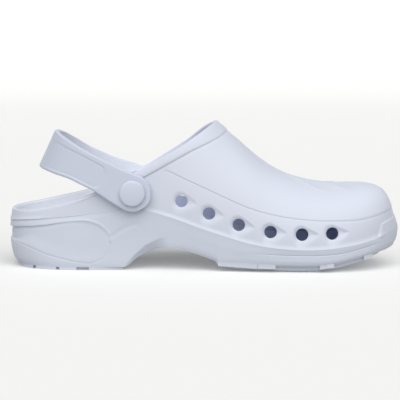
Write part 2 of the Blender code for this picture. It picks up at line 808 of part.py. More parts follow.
def make_strap(material):
    """U-shaped band from rivet to rivet round the heel."""
    back = np.array((-math.cos(STRAP_TILT), 0.0, math.sin(STRAP_TILT)))
    across = np.array((math.sin(STRAP_TILT), 0.0, math.cos(STRAP_TILT)))
    centre = np.array((PIVOT_X, (seat_face(1) + seat_face(-1)) / 2, PIVOT_Z))
    points = []
    rows = strap_rows()
    for along, sideways, out_along, out_side, half in rows:
        spot = centre + along * back + np.array((0.0, sideways, 0.0))
        outward = out_along * back + np.array((0.0, out_side, 0.0))
        for width, out in strap_section(half, float(STRAP_RECESS(max(along, 0.0)))):
            points.append(spot + width * across + out * outward)
    count = len(strap_section(STRAP_END, 0.0))
    faces = [list(range(count))[::-1]]
    for row in range(len(rows) - 1):
        for i in range(count):
            j = (i + 1) % count
            base = row * count
            faces.append([base + i, base + j, base + count + j, base + count + i])
    last = (len(rows) - 1) * count
    faces.append([last + i for i in range(count)])
    strap = solid("heel_strap", np.array(points), faces, material)
    bores = []
    for side in (-1, 1):
        spot = np.array((PIVOT_X, seat_face(side), PIVOT_Z))
        outward = (0.0, side, 0.0)
        bores.append(round_block(spot, outward, RIVET_HOLE, -SEAT_BACK, 2 * SEAT_BACK, ROUND_SIDES))
    combine(strap, joined_blocks("strap_hole_guide", bores), "DIFFERENCE")
    return strap


def make_rivet(name, side, material):
    """Push rivet turned about its own axis: domed cap, shank and inner flange."""
    face = seat_face(side)
    cap_base = SEAM_GAP + STRAP_THICK + SEAM_GAP
    back = -SEAT_BACK - SEAM_GAP
    profile = [(back - height * FLANGE_THICK, radius * FLANGE_RADIUS) for height, radius in FLANGE]
    profile += [(back, SHANK_RADIUS), (cap_base, SHANK_RADIUS)]
    profile += [(cap_base + height * CAP_HEIGHT, radius * CAP_RADIUS) for height, radius in CAP]
    angles = np.linspace(0, 2 * math.pi, ROUND_SIDES, endpoint=False)
    points = []
    for out, radius in profile:
        for angle in angles:
            x = PIVOT_X + side * radius * math.sin(angle)
            points.append((x, face + side * out, PIVOT_Z + radius * math.cos(angle)))
    faces = [list(range(ROUND_SIDES))[::-1]]
    for row in range(len(profile) - 1):
        for i in range(ROUND_SIDES):
            j = (i + 1) % ROUND_SIDES
            base = row * ROUND_SIDES
            faces.append([base + i, base + j, base + ROUND_SIDES + j, base + ROUND_SIDES + i])
    last = (len(profile) - 1) * ROUND_SIDES
    faces.append([last + i for i in range(ROUND_SIDES)])
    return solid(name, np.array(points), faces, material)


for old in list(bpy.data.objects):
    bpy.data.objects.remove(old)

make_upper(plain_material("upper_foam", (0.74, 0.78, 0.88), 0.5))
make_sole(plain_material("sole_foam", (0.68, 0.72, 0.83), 0.55))
make_insole(plain_material("insole_foam", (0.72, 0.75, 0.84), 0.7))
make_strap(plain_material("strap_foam", (0.72, 0.76, 0.87), 0.5))
make_rivet("rivet_near", -1, plain_material("rivet_near_plastic", (0.75, 0.79, 0.89), 0.4))
make_rivet("rivet_far", 1, plain_material("rivet_far_plastic", (0.75, 0.79, 0.89), 0.4))
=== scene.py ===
"""Looks of a moulded white work clog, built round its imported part.

Tables are in millimetres: x from the back of the heel to the toe, z up from the floor. The near side is the
inner side of this left shoe.
"""

import math

import bpy
import numpy as np
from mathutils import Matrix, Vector


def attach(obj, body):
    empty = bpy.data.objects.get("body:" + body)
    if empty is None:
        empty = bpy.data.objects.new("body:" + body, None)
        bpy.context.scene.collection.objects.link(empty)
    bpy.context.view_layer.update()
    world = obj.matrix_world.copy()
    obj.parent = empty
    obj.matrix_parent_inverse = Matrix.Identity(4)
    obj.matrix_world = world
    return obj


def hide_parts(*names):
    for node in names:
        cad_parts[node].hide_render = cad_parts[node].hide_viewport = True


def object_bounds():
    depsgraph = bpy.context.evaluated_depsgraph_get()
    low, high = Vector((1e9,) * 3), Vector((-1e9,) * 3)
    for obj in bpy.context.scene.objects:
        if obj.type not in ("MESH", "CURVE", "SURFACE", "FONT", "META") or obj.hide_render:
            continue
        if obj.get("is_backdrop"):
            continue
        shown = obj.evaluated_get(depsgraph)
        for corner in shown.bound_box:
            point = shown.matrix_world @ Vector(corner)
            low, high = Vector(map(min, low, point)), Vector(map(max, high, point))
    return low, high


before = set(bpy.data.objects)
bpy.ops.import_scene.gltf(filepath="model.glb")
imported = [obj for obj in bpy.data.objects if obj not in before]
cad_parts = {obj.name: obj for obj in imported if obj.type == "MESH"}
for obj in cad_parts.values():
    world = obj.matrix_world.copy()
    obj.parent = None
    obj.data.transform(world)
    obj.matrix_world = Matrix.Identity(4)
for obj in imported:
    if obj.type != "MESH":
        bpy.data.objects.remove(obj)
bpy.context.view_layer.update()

# Camera: a little higher than the top of the shoe, looking at its inner side from about 0.9 m.
camera = bpy.data.objects.new("camera", bpy.data.cameras.new("camera"))
bpy.context.scene.collection.objects.link(camera)
camera.data.sensor_width = 36
camera.data.lens = 115.9
camera.location = (-0.0021, -0.9, 0.135)
camera_aim = Vector((-0.0021, 0.0, 0.0442)) - camera.location
camera.rotation_euler = camera_aim.to_track_quat("-Z", "Y").to_euler()
bpy.context.scene.camera = camera
bpy.context.scene.view_settings.view_transform = "Standard"

# Studio: one wide pale paper floor under an even sky. It glows faintly, like a backlit table, and bends up
# far in front and behind, so it has no visible end. Broad soft lamps light the shoe from above in front and,
# much weaker, from behind, and the floor has a lamp of its own.
LEVEL_REACH = 4.0
FLOOR_HALF_WIDTH = 9.0
FRONT_BEND = 20.0
BACK_BEND = 6.0
PAPER_SEEN = (0.88, 0.875, 0.86)
PAPER_BOUNCE = (0.45, 0.45, 0.44)
front_angles = np.radians(np.arange(30, -1, -3))
back_angles = np.radians(np.arange(0, 61, 3))
sweep = [(-LEVEL_REACH - FRONT_BEND * math.sin(angle), FRONT_BEND - FRONT_BEND * math.cos(angle))
         for angle in front_angles]
sweep += [(LEVEL_REACH + BACK_BEND * math.sin(angle), BACK_BEND - BACK_BEND * math.cos(angle))
          for angle in back_angles]
floor_points = [(x, y, z) for y, z in sweep for x in (-FLOOR_HALF_WIDTH, FLOOR_HALF_WIDTH)]
floor_faces = [(2 * i, 2 * i + 1, 2 * i + 3, 2 * i + 2) for i in range(len(sweep) - 1)]
floor_mesh = bpy.data.meshes.new("studio_floor")
floor_mesh.from_pydata(floor_points, [], floor_faces)
floor_mesh.shade_smooth()
floor = bpy.data.objects.new("studio_floor", floor_mesh)
paper = bpy.data.materials.new("studio_paper")
paper.use_nodes = True
ray = paper.node_tree.nodes.new("ShaderNodeLightPath")
glow = paper.node_tree.nodes.new("ShaderNodeMix")
glow.data_type = "RGBA"
glow.inputs["A"].default_value = (*PAPER_SEEN, 1)
glow.inputs["B"].default_value = (*PAPER_BOUNCE, 1)
paper_shader = paper.node_tree.nodes["Principled BSDF"]
paper.node_tree.links.new(ray.outputs["Is Diffuse Ray"], glow.inputs["Factor"])
paper.node_tree.links.new(glow.outputs["Result"], paper_shader.inputs["Base Color"])
paper.node_tree.links.new(glow.outputs["Result"], paper_shader.inputs["Emission Color"])
paper_shader.inputs["Emission Strength"].default_value = 0.16
paper_shader.inputs["Roughness"].default_value = 0.9
paper_shader.inputs["Specular IOR Level"].default_value = 0.1
floor_mesh.materials.append(paper)
floor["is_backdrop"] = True

sky = bpy.data.worlds.new("studio_sky")
bpy.context.scene.world = sky
sky.use_nodes = True
sky.node_tree.nodes["Background"].inputs["Color"].default_value = (0.94, 0.97, 1.0, 1)
sky.node_tree.nodes["Background"].inputs["Strength"].default_value = 0.23

shoe = bpy.data.collections.new("shoe")
bpy.context.scene.collection.children.link(shoe)
stage = bpy.data.collections.new("stage")
bpy.context.scene.collection.children.link(stage)
stage.objects.link(floor)

# Each lamp's name, what it lights, its strength, tilt, turn and spread
LAMPS = (
    ("shoe_lamp", shoe, 2.52, 38, 0, 80),
    ("rim_lamp", shoe, 0.37, -25, 0, 80),
    ("floor_lamp", stage, 3.25, 50, 12, 90),
)
for name, receivers, strength, tilt, turn, spread in LAMPS:
    lamp = bpy.data.objects.new(name, bpy.data.lights.new(name, "SUN"))
    bpy.context.scene.collection.objects.link(lamp)
    lamp.data.energy = strength
    lamp.data.angle = math.radians(spread)
    lamp.rotation_euler = (math.radians(tilt), 0, math.radians(turn))
    lamp.light_linking.receiver_collection = receivers

# Upper: one moulded EVA foam shell, about 3.6 mm thick, white with a cool lavender cast and a satin skin.
# It flares into a welt bead where it is joined to the sole. The vamp panel ends in a fine groove and has
# soft pleats over the toes, the collar ends in a raised trim, and six vents on each side sit in scoops.
LENGTH = 270.0
WALL = 3.6
FLARE_HEIGHT = 3.4
HEEL_FLARE_HEIGHT = 4.6
FLARE_PROUD = 0.15
TOE_FLARE_LOSS = 0.75
HEEL_FLARE_LOSS = 0.8
RIM_ROUND = 1.3
PLAN_SAMPLES = 4001
UPPER_STEPS = 360
PATH_STEPS = 240
BEAD_ROWS = 8
SIDE_ROWS = 33
GROOVE_ROWS = 13
VAMP_ROWS = 46
TRIM_STEP_ROWS = 10
TRIM_ROWS = 7
RIM_ROWS = 9
RIM_OUTSIDE_ROWS = 6
LINING_ROWS = 7
OUTLINE_COLUMNS = ("x", "middle", "half")
OUTLINE = (
    (0.0, 0.0, 0.0),
    (10.0, 0.0, 24.4),
    (45.0, 0.2, 36.2),
    (92.0, 1.4, 38.8),
    (135.0, 2.4, 44.6),
    (180.0, 1.8, 50.8),
    (205.0, 0.4, 51.4),
    (228.0, -2.2, 47.4),
    (248.0, -5.2, 37.2),
    (260.0, -7.0, 25.4),
    (270.0, -8.0, 0.0),
)
BEAD_COLUMNS = ("x", "z")
BEAD = (
    (0.0, 32.0),
    (9.5, 33.4),
    (21.4, 34.6),
    (35.2, 35.8),
    (48.8, 37.1),
    (65.6, 39.2),
    (76.0, 40.5),
    (86.0, 41.3),
    (95.0, 40.8),
    (106.0, 38.5),
    (119.2, 34.4),
    (132.5, 29.6),
    (149.4, 24.3),
    (166.0, 19.6),
    (183.0, 16.8),
    (200.0, 15.7),
    (217.0, 16.2),
    (234.0, 18.4),
    (246.0, 20.8),
    (252.7, 22.8),
    (259.6, 24.8),
    (265.0, 26.2),
    (270.0, 27.0),
)
RIDGE_COLUMNS = ("x", "z", "power")
RIDGE = (
    (60.0, 176.0, 2.0),
    (92.0, 147.0, 2.0),
    (126.0, 116.4, 2.0),
    (145.0, 99.8, 2.0),
    (160.4, 86.8, 2.05),
    (171.6, 77.1, 2.1),
    (182.9, 69.0, 2.15),
    (194.2, 63.4, 2.2),
    (205.4, 60.1, 2.25),
    (222.4, 57.6, 2.35),
    (239.0, 57.8, 2.4),
    (248.0, 57.6, 2.4),
    (256.0, 55.8, 2.4),
    (261.5, 51.8, 2.4),
    (265.0, 45.0, 2.4),
    (267.2, 38.2, 2.4),
    (268.8, 32.4, 2.4),
    (270.0, 27.8, 2.4),
)
COLLAR_COLUMNS = ("x", "near", "far")
COLLAR = (
    (0.0, 39.0, 39.4),
    (18.0, 39.6, 41.4),
    (31.4, 42.1, 43.8),
    (45.5, 45.6, 46.6),
    (61.8, 51.7, 51.2),
    (78.0, 59.6, 57.8),
    (94.4, 67.9, 65.6),
    (108.7, 76.2, 74.4),
    (126.7, 87.3, 86.4),
    (137.2, 94.6, 95.0),
    (145.0, 99.8, 99.8),
)
REACH_COLUMNS = ("x_bead", "x_collar")
REACH = (
    (0.0, 2.0),
    (20.0, 20.5),
    (60.0, 59.0),
    (92.0, 87.0),
    (120.0, 105.0),
    (150.0, 117.0),
    (180.0, 126.5),
    (210.0, 134.6),
    (240.0, 140.7),
    (262.0, 144.1),
    (270.0, 145.0),
)
TRIM_COLUMNS = ("x", "width", "lift")
TRIM = (
    (0.0, 2.0, 0.0),
    (40.0, 1.8, 0.0),
    (62.0, 0.8, 0.5),
    (78.0, 1.4, 0.8),
    (95.0, 4.4, 0.9),
    (132.0, 5.2, 0.8),
    (168.0, 6.0, 0.7),
    (204.0, 8.2, 0.6),
    (240.0, 9.6, 0.5),
    (270.0, 9.2, 0.5),
)
GROOVE_COLUMNS = ("x", "z")
GROOVE = (
    (95.0, 77.5),
    (109.7, 69.1),
    (120.8, 63.3),
    (132.5, 58.0),
    (149.5, 50.2),
    (166.3, 43.2),
    (183.2, 38.7),
    (200.0, 36.2),
    (217.1, 35.2),
    (234.6, 35.3),
    (248.4, 37.0),
    (262.5, 40.6),
    (270.0, 43.0),
)
GROOVE_REACH = 2.0
GROOVE_START = (116, 130)
GROOVE_BLEND = 20.0
HEEL_LEAN = 0.7
HEEL_TO_ARCH = (30, 70)
WALL_TO_ARCH = (70, 112)
SIDE_INSET = 0.8
GROOVE_INSET = 0.9
VAMP_STEP = 0.35
TRIM_CROWN = 0.25
TRIM_UNDERCUT = 0.2
BUMPER_BACK = 253.0
BUMPER_LEAN = 0.28
BUMPER_SOFT = 1.4
BUMPER_TOP_X = 257.0
BUMPER_TOP_Z = 32.2
BUMPER_TOP_RISE = 0.34
BUMPER_PROUD = 0.5
BUMPER_FOOT_PROUD = 0.4

# Pleats, a trough with a ridge below it each time: height, width, and places from the middle line outwards
PLEATS = (
    (-0.9, 4.5, ((196.0, -1.0), (200.0, -4.0), (208.3, -14.0), (214.4, -21.0), (219.0, -26.0))),
    (0.9, 3.4, ((188.0, -1.0), (192.7, -5.0), (208.0, -19.0), (214.0, -26.0), (218.0, -31.0))),
    (-1.0, 4.5, ((214.0, 1.0), (220.5, -2.0), (230.7, -11.0), (234.2, -19.0), (237.0, -25.0))),
    (1.0, 3.4, ((206.0, 1.0), (211.0, -3.0), (227.8, -18.0), (231.6, -24.0), (234.5, -29.0))),
)
PLEAT_START_NEAR = 0.05
PLEAT_START_FAR = 0.4

# Vents: x, z and the depth of the scoop
VENTS = (
    (120.1, 47.4, 1.1),
    (138.5, 39.2, 1.4),
    (158.4, 31.9, 1.6),
    (179.6, 27.4, 1.8),
    (200.8, 25.8, 2.0),
    (221.5, 26.5, 2.0),
)
VENT_RADIUS = 4.2
SCOOP_RADIUS = 6.6
SCOOP_TAIL = 10.6
SCOOP_LOWER_REACH = 1.5
SCOOP_BACK_SOFT = 3.5
SCOOP_NEAR = 12.0
VENT_LIP_WIDTH = 1.1
VENT_LIP_DEPTH = 0.35
PIVOT_X = 87.6
PIVOT_Z = 53.0
SEAT_RADIUS = 9.2
SEAT_PROUD = 1.7
SEAT_BACK = 6.4
RIVET_HOLE = 4.0
UPPER_WHITE = (0.68, 0.71, 0.81)
# Inside of the upper and the insole: painted light makes it paler than the outside foam at the heel, and
# painted shade darkens it towards the toe, between the two x places below
INSIDE_PAINTED_LIGHT = (0.90, 0.92, 0.97)
INSIDE_PAINTED_SHADE = (0.62, 0.67, 0.83)
PAINTED_LIGHT_END_X = -0.075
PAINTED_SHADE_FULL_X = -0.02


def column(rows, columns, name):
    """One named column of a table."""
    return np.array([row[columns.index(name)] for row in rows])


def flowing(knots, values):
    """Natural cubic curve through a table's column."""
    knots = np.asarray(knots, float)
    values = np.asarray(values, float)
    gaps = np.diff(knots)
    count = len(knots)
    system = np.eye(count)
    bend = np.zeros(count)
    for i in range(1, count - 1):
        system[i, i - 1:i + 2] = gaps[i - 1], 2 * (gaps[i - 1] + gaps[i]), gaps[i]
        bend[i] = 3 * ((values[i + 1] - values[i]) / gaps[i] - (values[i] - values[i - 1]) / gaps[i - 1])
    curve = np.linalg.solve(system, bend)

    def at(place):
        place = np.asarray(place, float)
        i = np.clip(np.searchsorted(knots, place) - 1, 0, count - 2)
        step = place - knots[i]
        slope = (values[i + 1] - values[i]) / gaps[i] - gaps[i] * (2 * curve[i] + curve[i + 1]) / 3
        cubic = (curve[i + 1] - curve[i]) / (3 * gaps[i])
        return values[i] + step * (slope + step * (curve[i] + step * cubic))

    return at


def steady(knots, values):
    """Smooth curve through a table's column that never swings past its rows."""
    knots = np.asarray(knots, float)
    values = np.asarray(values, float)
    gaps = np.diff(knots)
    rises = np.diff(values) / gaps
    slopes = np.zeros(len(knots))
    for i in range(1, len(knots) - 1):
        if rises[i - 1] * rises[i] > 0:
            ahead = 2 * gaps[i] + gaps[i - 1]
            behind = gaps[i] + 2 * gaps[i - 1]
            slopes[i] = (ahead + behind) / (ahead / rises[i - 1] + behind / rises[i])
    slopes[0] = rises[0]
    slopes[-1] = rises[-1]

    def at(place):
        place = np.clip(np.asarray(place, float), knots[0], knots[-1])
        i = np.clip(np.searchsorted(knots, place) - 1, 0, len(knots) - 2)
        u = (place - knots[i]) / gaps[i]
        start = (1 + 2 * u) * (1 - u) ** 2 * values[i] + u * (1 - u) ** 2 * gaps[i] * slopes[i]
        end = u * u * (3 - 2 * u) * values[i + 1] + u * u * (u - 1) * gaps[i] * slopes[i + 1]
        return start + end

    return at


def turn_of(x):
    """Turn round the plan, 0 at the heel and pi at the toe."""
    return np.arccos(np.clip(1 - 2 * np.asarray(x, float) / LENGTH, -1, 1))


def eased(place, start, end):
    """0 before start, 1 after end, and a soft step between them."""
    share = np.clip((place - start) / (end - start), 0, 1)
    return share * share * (3 - 2 * share)


def bump(place, centre, width):
    """Soft hump of height 1 that ends a width away from its centre."""
    share = np.clip(np.abs(place - centre) / width, 0, 1)
    return (1 - share * share) ** 2


outline_turns = turn_of(column(OUTLINE, OUTLINE_COLUMNS, "x"))
middle_at = flowing(outline_turns, column(OUTLINE, OUTLINE_COLUMNS, "middle"))
half_at = flowing(outline_turns, column(OUTLINE, OUTLINE_COLUMNS, "half"))
bead_at = flowing(column(BEAD, BEAD_COLUMNS, "x"), column(BEAD, BEAD_COLUMNS, "z"))
ridge_turns = turn_of(column(RIDGE, RIDGE_COLUMNS, "x"))
ridge_at = flowing(ridge_turns, column(RIDGE, RIDGE_COLUMNS, "z"))
power_at = steady(ridge_turns, column(RIDGE, RIDGE_COLUMNS, "power"))
collar_x = column(COLLAR, COLLAR_COLUMNS, "x")
collar_near = flowing(collar_x, column(COLLAR, COLLAR_COLUMNS, "near"))
collar_far = flowing(collar_x, column(COLLAR, COLLAR_COLUMNS, "far"))
reach_turns = turn_of(column(REACH, REACH_COLUMNS, "x_bead"))
reach_at = steady(reach_turns, column(REACH, REACH_COLUMNS, "x_collar"))
groove_at = steady(column(GROOVE, GROOVE_COLUMNS, "x"), column(GROOVE, GROOVE_COLUMNS, "z"))
trim_x = column(TRIM, TRIM_COLUMNS, "x")
trim_width_at = steady(trim_x, column(TRIM, TRIM_COLUMNS, "width"))
trim_lift_at = steady(trim_x, column(TRIM, TRIM_COLUMNS, "lift"))

# Once round the shoe in even steps: heel, near side, toe, far side
fine_turns = np.linspace(0, math.pi, PLAN_SAMPLES)
fine_steps = np.hypot(np.diff(LENGTH * (1 - np.cos(fine_turns)) / 2), np.diff(half_at(fine_turns)))
fine_runs = np.concatenate([[0], np.cumsum(fine_steps)])
rising = np.interp(np.linspace(0, fine_runs[-1], UPPER_STEPS + 1), fine_runs, fine_turns)
turns = np.concatenate([rising, rising[-2:0:-1]])
sides = np.concatenate([-np.ones(UPPER_STEPS + 1), np.ones(UPPER_STEPS - 1)])
plan_x = LENGTH * (1 - np.cos(turns)) / 2
plan_y = middle_at(turns) + sides * half_at(turns)
step_x = np.roll(plan_x, -1) - np.roll(plan_x, 1)
step_y = np.roll(plan_y, -1) - np.roll(plan_y, 1)
out_x = step_y / np.hypot(step_x, step_y)
out_y = -step_x / np.hypot(step_x, step_y)
box_low, box_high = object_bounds()
sideways = (box_low.y + box_high.y) / 2 * 1000 - (plan_y.max() + plan_y.min()) / 2


def ring(inset, z):
    """Ring of points that stands in from the outline by inset, at heights z."""
    return np.stack([plan_x - inset * out_x, plan_y - inset * out_y, z + 0 * plan_x], axis=1)


def mesh_object(name, points, faces):
    """Smooth object from points in table millimetres."""
    mesh = bpy.data.meshes.new(name)
    placed = (np.asarray(points) + (-LENGTH / 2, sideways, 0)) * 0.001
    mesh.from_pydata(placed.tolist(), [], faces)
    mesh.update()
    made = bpy.data.objects.new(name, mesh)
    shoe.objects.link(made)
    return made


def lofted(name, rings, closed):
    """Object through rings of equal counts: a closed tube, or one whose end rings close as seams."""
    count = len(rings[0])
    points = []
    numbers = []
    for level, here in enumerate(rings):
        base = len(points)
        if not closed and level in (0, len(rings) - 1):
            points.extend(here[:count // 2 + 1])
            numbers.append([base + min(i, count - i) for i in range(count)])
        else:
            points.extend(here)
            numbers.append([base + i for i in range(count)])
    faces = []
    pairs = list(zip(numbers, numbers[1:]))
    if closed:
        pairs.append((numbers[-1], numbers[0]))
    for low, high in pairs:
        for i in range(count):
            j = (i + 1) % count
            corners = [low[i], low[j], high[j], high[i]]
            faces.append([corner for k, corner in enumerate(corners) if corner != corners[k - 1]])
    return mesh_object(name, points, faces)


def prism(lower, higher):
    """Points and faces of a block between two like polygons, the lower one seen anticlockwise from above."""
    count = len(lower)
    faces = [list(range(count - 1, -1, -1)), list(range(count, 2 * count))]
    for i in range(count):
        j = (i + 1) % count
        faces.append([i, j, count + j, count + i])
    return list(lower) + list(higher), faces


def round_bar(centre, direction, radius, start, end, count=64):
    """Round bar along a level direction."""
    direction = np.array(direction) / np.linalg.norm(direction)
    across = np.cross((0, 0, 1), direction)
    angles = np.linspace(0, 2 * math.pi, count, endpoint=False)[:, None]
    circle = radius * (np.cos(angles) * across + np.sin(angles) * np.array((0, 0, 1)))
    return prism(centre + circle + start * direction, centre + circle + end * direction)


def combine(body, blocks, operation):
    """Boolean of a body with several blocks, applied at once."""
    points = []
    faces = []
    for block_points, block_faces in blocks:
        faces.extend([[len(points) + corner for corner in face] for face in block_faces])
        points.extend(block_points)
    guide = mesh_object("guide", points, faces)
    change = body.modifiers.new("combine", "BOOLEAN")
    change.operation = operation
    change.solver = "EXACT"
    change.object = guide
    made = bpy.data.meshes.new_from_object(body.evaluated_get(bpy.context.evaluated_depsgraph_get()))
    body.modifiers.clear()
    body.data = made
    bpy.data.objects.remove(guide)


def smoothed(body, angle):
    """Shades a body smooth, with edges sharper than an angle left sharp."""
    body.data.shade_smooth()
    body.data.set_sharp_from_angle(angle=math.radians(angle))


def from_line(points, line):
    """Distance of points from a broken line, and the share of the line's length at the nearest place."""
    line = np.asarray(line, float)
    lengths = np.linalg.norm(np.diff(line, axis=0), axis=1)
    runs = np.concatenate([[0], np.cumsum(lengths)]) / lengths.sum()
    nearest = np.full(points.shape[:-1], np.inf)
    place = np.zeros(points.shape[:-1])
    for i, length in enumerate(lengths):
        way = (line[i + 1] - line[i]) / length
        along = np.clip((points - line[i]) @ way, 0, length)
        distance = np.linalg.norm(points - line[i] - along[..., None] * way, axis=-1)
        closer = distance < nearest
        nearest = np.where(closer, distance, nearest)
        place = np.where(closer, runs[i] + (runs[i + 1] - runs[i]) * along / length, place)
    return nearest, place


def foam(name, colour, roughness, grain):
    """Moulded EVA foam: even colour with a faint mottle, satin skin and fine grain."""
    if "foam_skin" not in bpy.data.node_groups:
        group = bpy.data.node_groups.new("foam_skin", "ShaderNodeTree")
        for label, kind in (("Colour", "NodeSocketColor"), ("Roughness", "NodeSocketFloat"),
                            ("Grain", "NodeSocketFloat")):
            group.interface.new_socket(label, in_out="INPUT", socket_type=kind)
        for label, kind in (("Colour", "NodeSocketColor"), ("Roughness", "NodeSocketFloat"),
                            ("Normal", "NodeSocketVector")):
            group.interface.new_socket(label, in_out="OUTPUT", socket_type=kind)
        nodes = group.nodes
        links = group.links
        start = nodes.new("NodeGroupInput")
        end = nodes.new("NodeGroupOutput")
        place = nodes.new("ShaderNodeTexCoord")
        mottle = nodes.new("ShaderNodeTexNoise")
        mottle.inputs["Scale"].default_value = 35
        mottle.inputs["Detail"].default_value = 4
        links.new(place.outputs["Object"], mottle.inputs["Vector"])
        shade = nodes.new("ShaderNodeMapRange")
        shade.inputs["To Min"].default_value = 0.975
        shade.inputs["To Max"].default_value = 1.025
        links.new(mottle.outputs["Fac"], shade.inputs["Value"])
        tint = nodes.new("ShaderNodeMix")
        tint.data_type = "RGBA"
        tint.blend_type = "MULTIPLY"
        tint.inputs["Factor"].default_value = 1
        links.new(start.outputs["Colour"], tint.inputs["A"])
        links.new(shade.outputs["Result"], tint.inputs["B"])
        links.new(tint.outputs["Result"], end.inputs["Colour"])
        rough = nodes.new("ShaderNodeMath")
        rough.operation = "MULTIPLY_ADD"
        rough.inputs[1].default_value = 0.12
        links.new(mottle.outputs["Fac"], rough.inputs[0])
        links.new(start.outputs["Roughness"], rough.inputs[2])
        links.new(rough.outputs["Value"], end.inputs["Roughness"])
        skin = nodes.new("ShaderNodeTexNoise")
        skin.inputs["Scale"].default_value = 1400
        skin.inputs["Detail"].default_value = 3
        links.new(place.outputs["Object"], skin.inputs["Vector"])
        relief = nodes.new("ShaderNodeBump")
        relief.inputs["Distance"].default_value = 0.0002
        links.new(start.outputs["Grain"], relief.inputs["Strength"])
        links.new(skin.outputs["Fac"], relief.inputs["Height"])
        links.new(relief.outputs["Normal"], end.inputs["Normal"])
    material = bpy.data.materials.new(name)
    material.use_nodes = True
    nodes = material.node_tree.nodes
    links = material.node_tree.links
    skin = nodes.new("ShaderNodeGroup")
    skin.node_tree = bpy.data.node_groups["foam_skin"]
    skin.inputs["Colour"].default_value = (*colour, 1)
    skin.inputs["Roughness"].default_value = roughness
    skin.inputs["Grain"].default_value = grain
    shader = nodes["Principled BSDF"]
    shader.inputs["Specular IOR Level"].default_value = 0.4
    links.new(skin.outputs["Colour"], shader.inputs["Base Color"])
    links.new(skin.outputs["Roughness"], shader.inputs["Roughness"])
    links.new(skin.outputs["Normal"], shader.inputs["Normal"])
    return material


def paint_inside_light_and_shade(material, heel, toe):
    """Paints light and shade into a foam's colour along the shoe: painted light towards the heel, painted
    shade towards the toe.
    """
    nodes = material.node_tree.nodes
    links = material.node_tree.links
    place = nodes.new("ShaderNodeTexCoord")
    split = nodes.new("ShaderNodeSeparateXYZ")
    links.new(place.outputs["Object"], split.inputs["Vector"])
    along = nodes.new("ShaderNodeMapRange")
    along.inputs["From Min"].default_value = PAINTED_LIGHT_END_X
    along.inputs["From Max"].default_value = PAINTED_SHADE_FULL_X
    links.new(split.outputs["X"], along.inputs["Value"])
    blend = nodes.new("ShaderNodeMix")
    blend.data_type = "RGBA"
    blend.inputs["A"].default_value = (*heel, 1)
    blend.inputs["B"].default_value = (*toe, 1)
    links.new(along.outputs["Result"], blend.inputs["Factor"])
    skin = [node for node in nodes if node.type == "GROUP"][0]
    links.new(blend.outputs["Result"], skin.inputs["Colour"])


def seat_face(side):
    """Sideways place of the flat seat that a strap end lies on."""
    turn = turn_of(PIVOT_X)
    return float(middle_at(turn) + side * (half_at(turn) + SEAT_PROUD))


def evened(paths, count):
    """Paths with their points set at even distances, and their lengths."""
    steps = np.linalg.norm(np.diff(paths, axis=1), axis=2)
    runs = np.concatenate([np.zeros((len(paths), 1)), np.cumsum(steps, axis=1)], axis=1)
    even = np.empty((len(paths), count, 3))
    for i, run in enumerate(runs):
        for axis in range(3):
            even[i, :, axis] = np.interp(np.linspace(0, run[-1], count), run, paths[i, :, axis])
    return even, runs[:, -1]


# Paths up the outside of the last, from bead to collar
reach_x = reach_at(turns)
reach_turn = turn_of(reach_x)
reach_z = np.where(sides < 0, collar_near(reach_x), collar_far(reach_x))
reach_bead = bead_at(reach_x)
reach_ridge = ridge_at(np.maximum(reach_turn, ridge_turns[0]))
arch_share = np.clip((reach_z - reach_bead) / (reach_ridge - reach_bead), 0, 1)
arch_half = half_at(reach_turn) * (1 - arch_share ** power_at(reach_turn)) ** (1 / power_at(reach_turn))
arch_end = np.stack([reach_x, middle_at(reach_turn) + sides * arch_half, reach_z], axis=1)
heel_end = ring(HEEL_LEAN, 0.0)
heel_end[:, 2] = np.where(sides < 0, collar_near(heel_end[:, 0]), collar_far(heel_end[:, 0]))
wall_end = (heel_end + (arch_end - heel_end) * eased(plan_x, *HEEL_TO_ARCH)[:, None])[:, None, :]
wall_start = ring(0.0, bead_at(plan_x))[:, None, :]
share = np.linspace(0, 1, PATH_STEPS + 1)[None, :, None]
arch = wall_start + (wall_end - wall_start) * share ** 3
arch_turn = turn_of(arch[:, :, 0])
from_middle = np.abs((arch[:, :, 1] - middle_at(arch_turn)) / np.maximum(half_at(arch_turn), 0.01))
across = np.clip(from_middle, 0, 1)
across[:, 0] = 1
arch_power = power_at(arch_turn)
arch_bead = bead_at(arch[:, :, 0])
arch_rise = (1 - across ** arch_power) ** (1 / arch_power)
arch[:, :, 2] = arch_bead + (ridge_at(arch_turn) - arch_bead) * arch_rise
wall = wall_start + (wall_end - wall_start) * share ** 2
wall[:, :, 2] = (wall_start + (wall_end - wall_start) * share)[:, :, 2]
arch, _ = evened(arch, PATH_STEPS + 1)
wall, _ = evened(wall, PATH_STEPS + 1)
paths, lengths = evened(wall + (arch - wall) * eased(plan_x, *WALL_TO_ARCH)[:, None, None], PATH_STEPS + 1)
normals = np.cross(np.roll(paths, -1, axis=0) - np.roll(paths, 1, axis=0), np.gradient(paths, axis=1))
normals /= np.linalg.norm(normals, axis=2)[:, :, None]
normals[:, 0] = np.stack([out_x, out_y, 0 * out_x], axis=1)

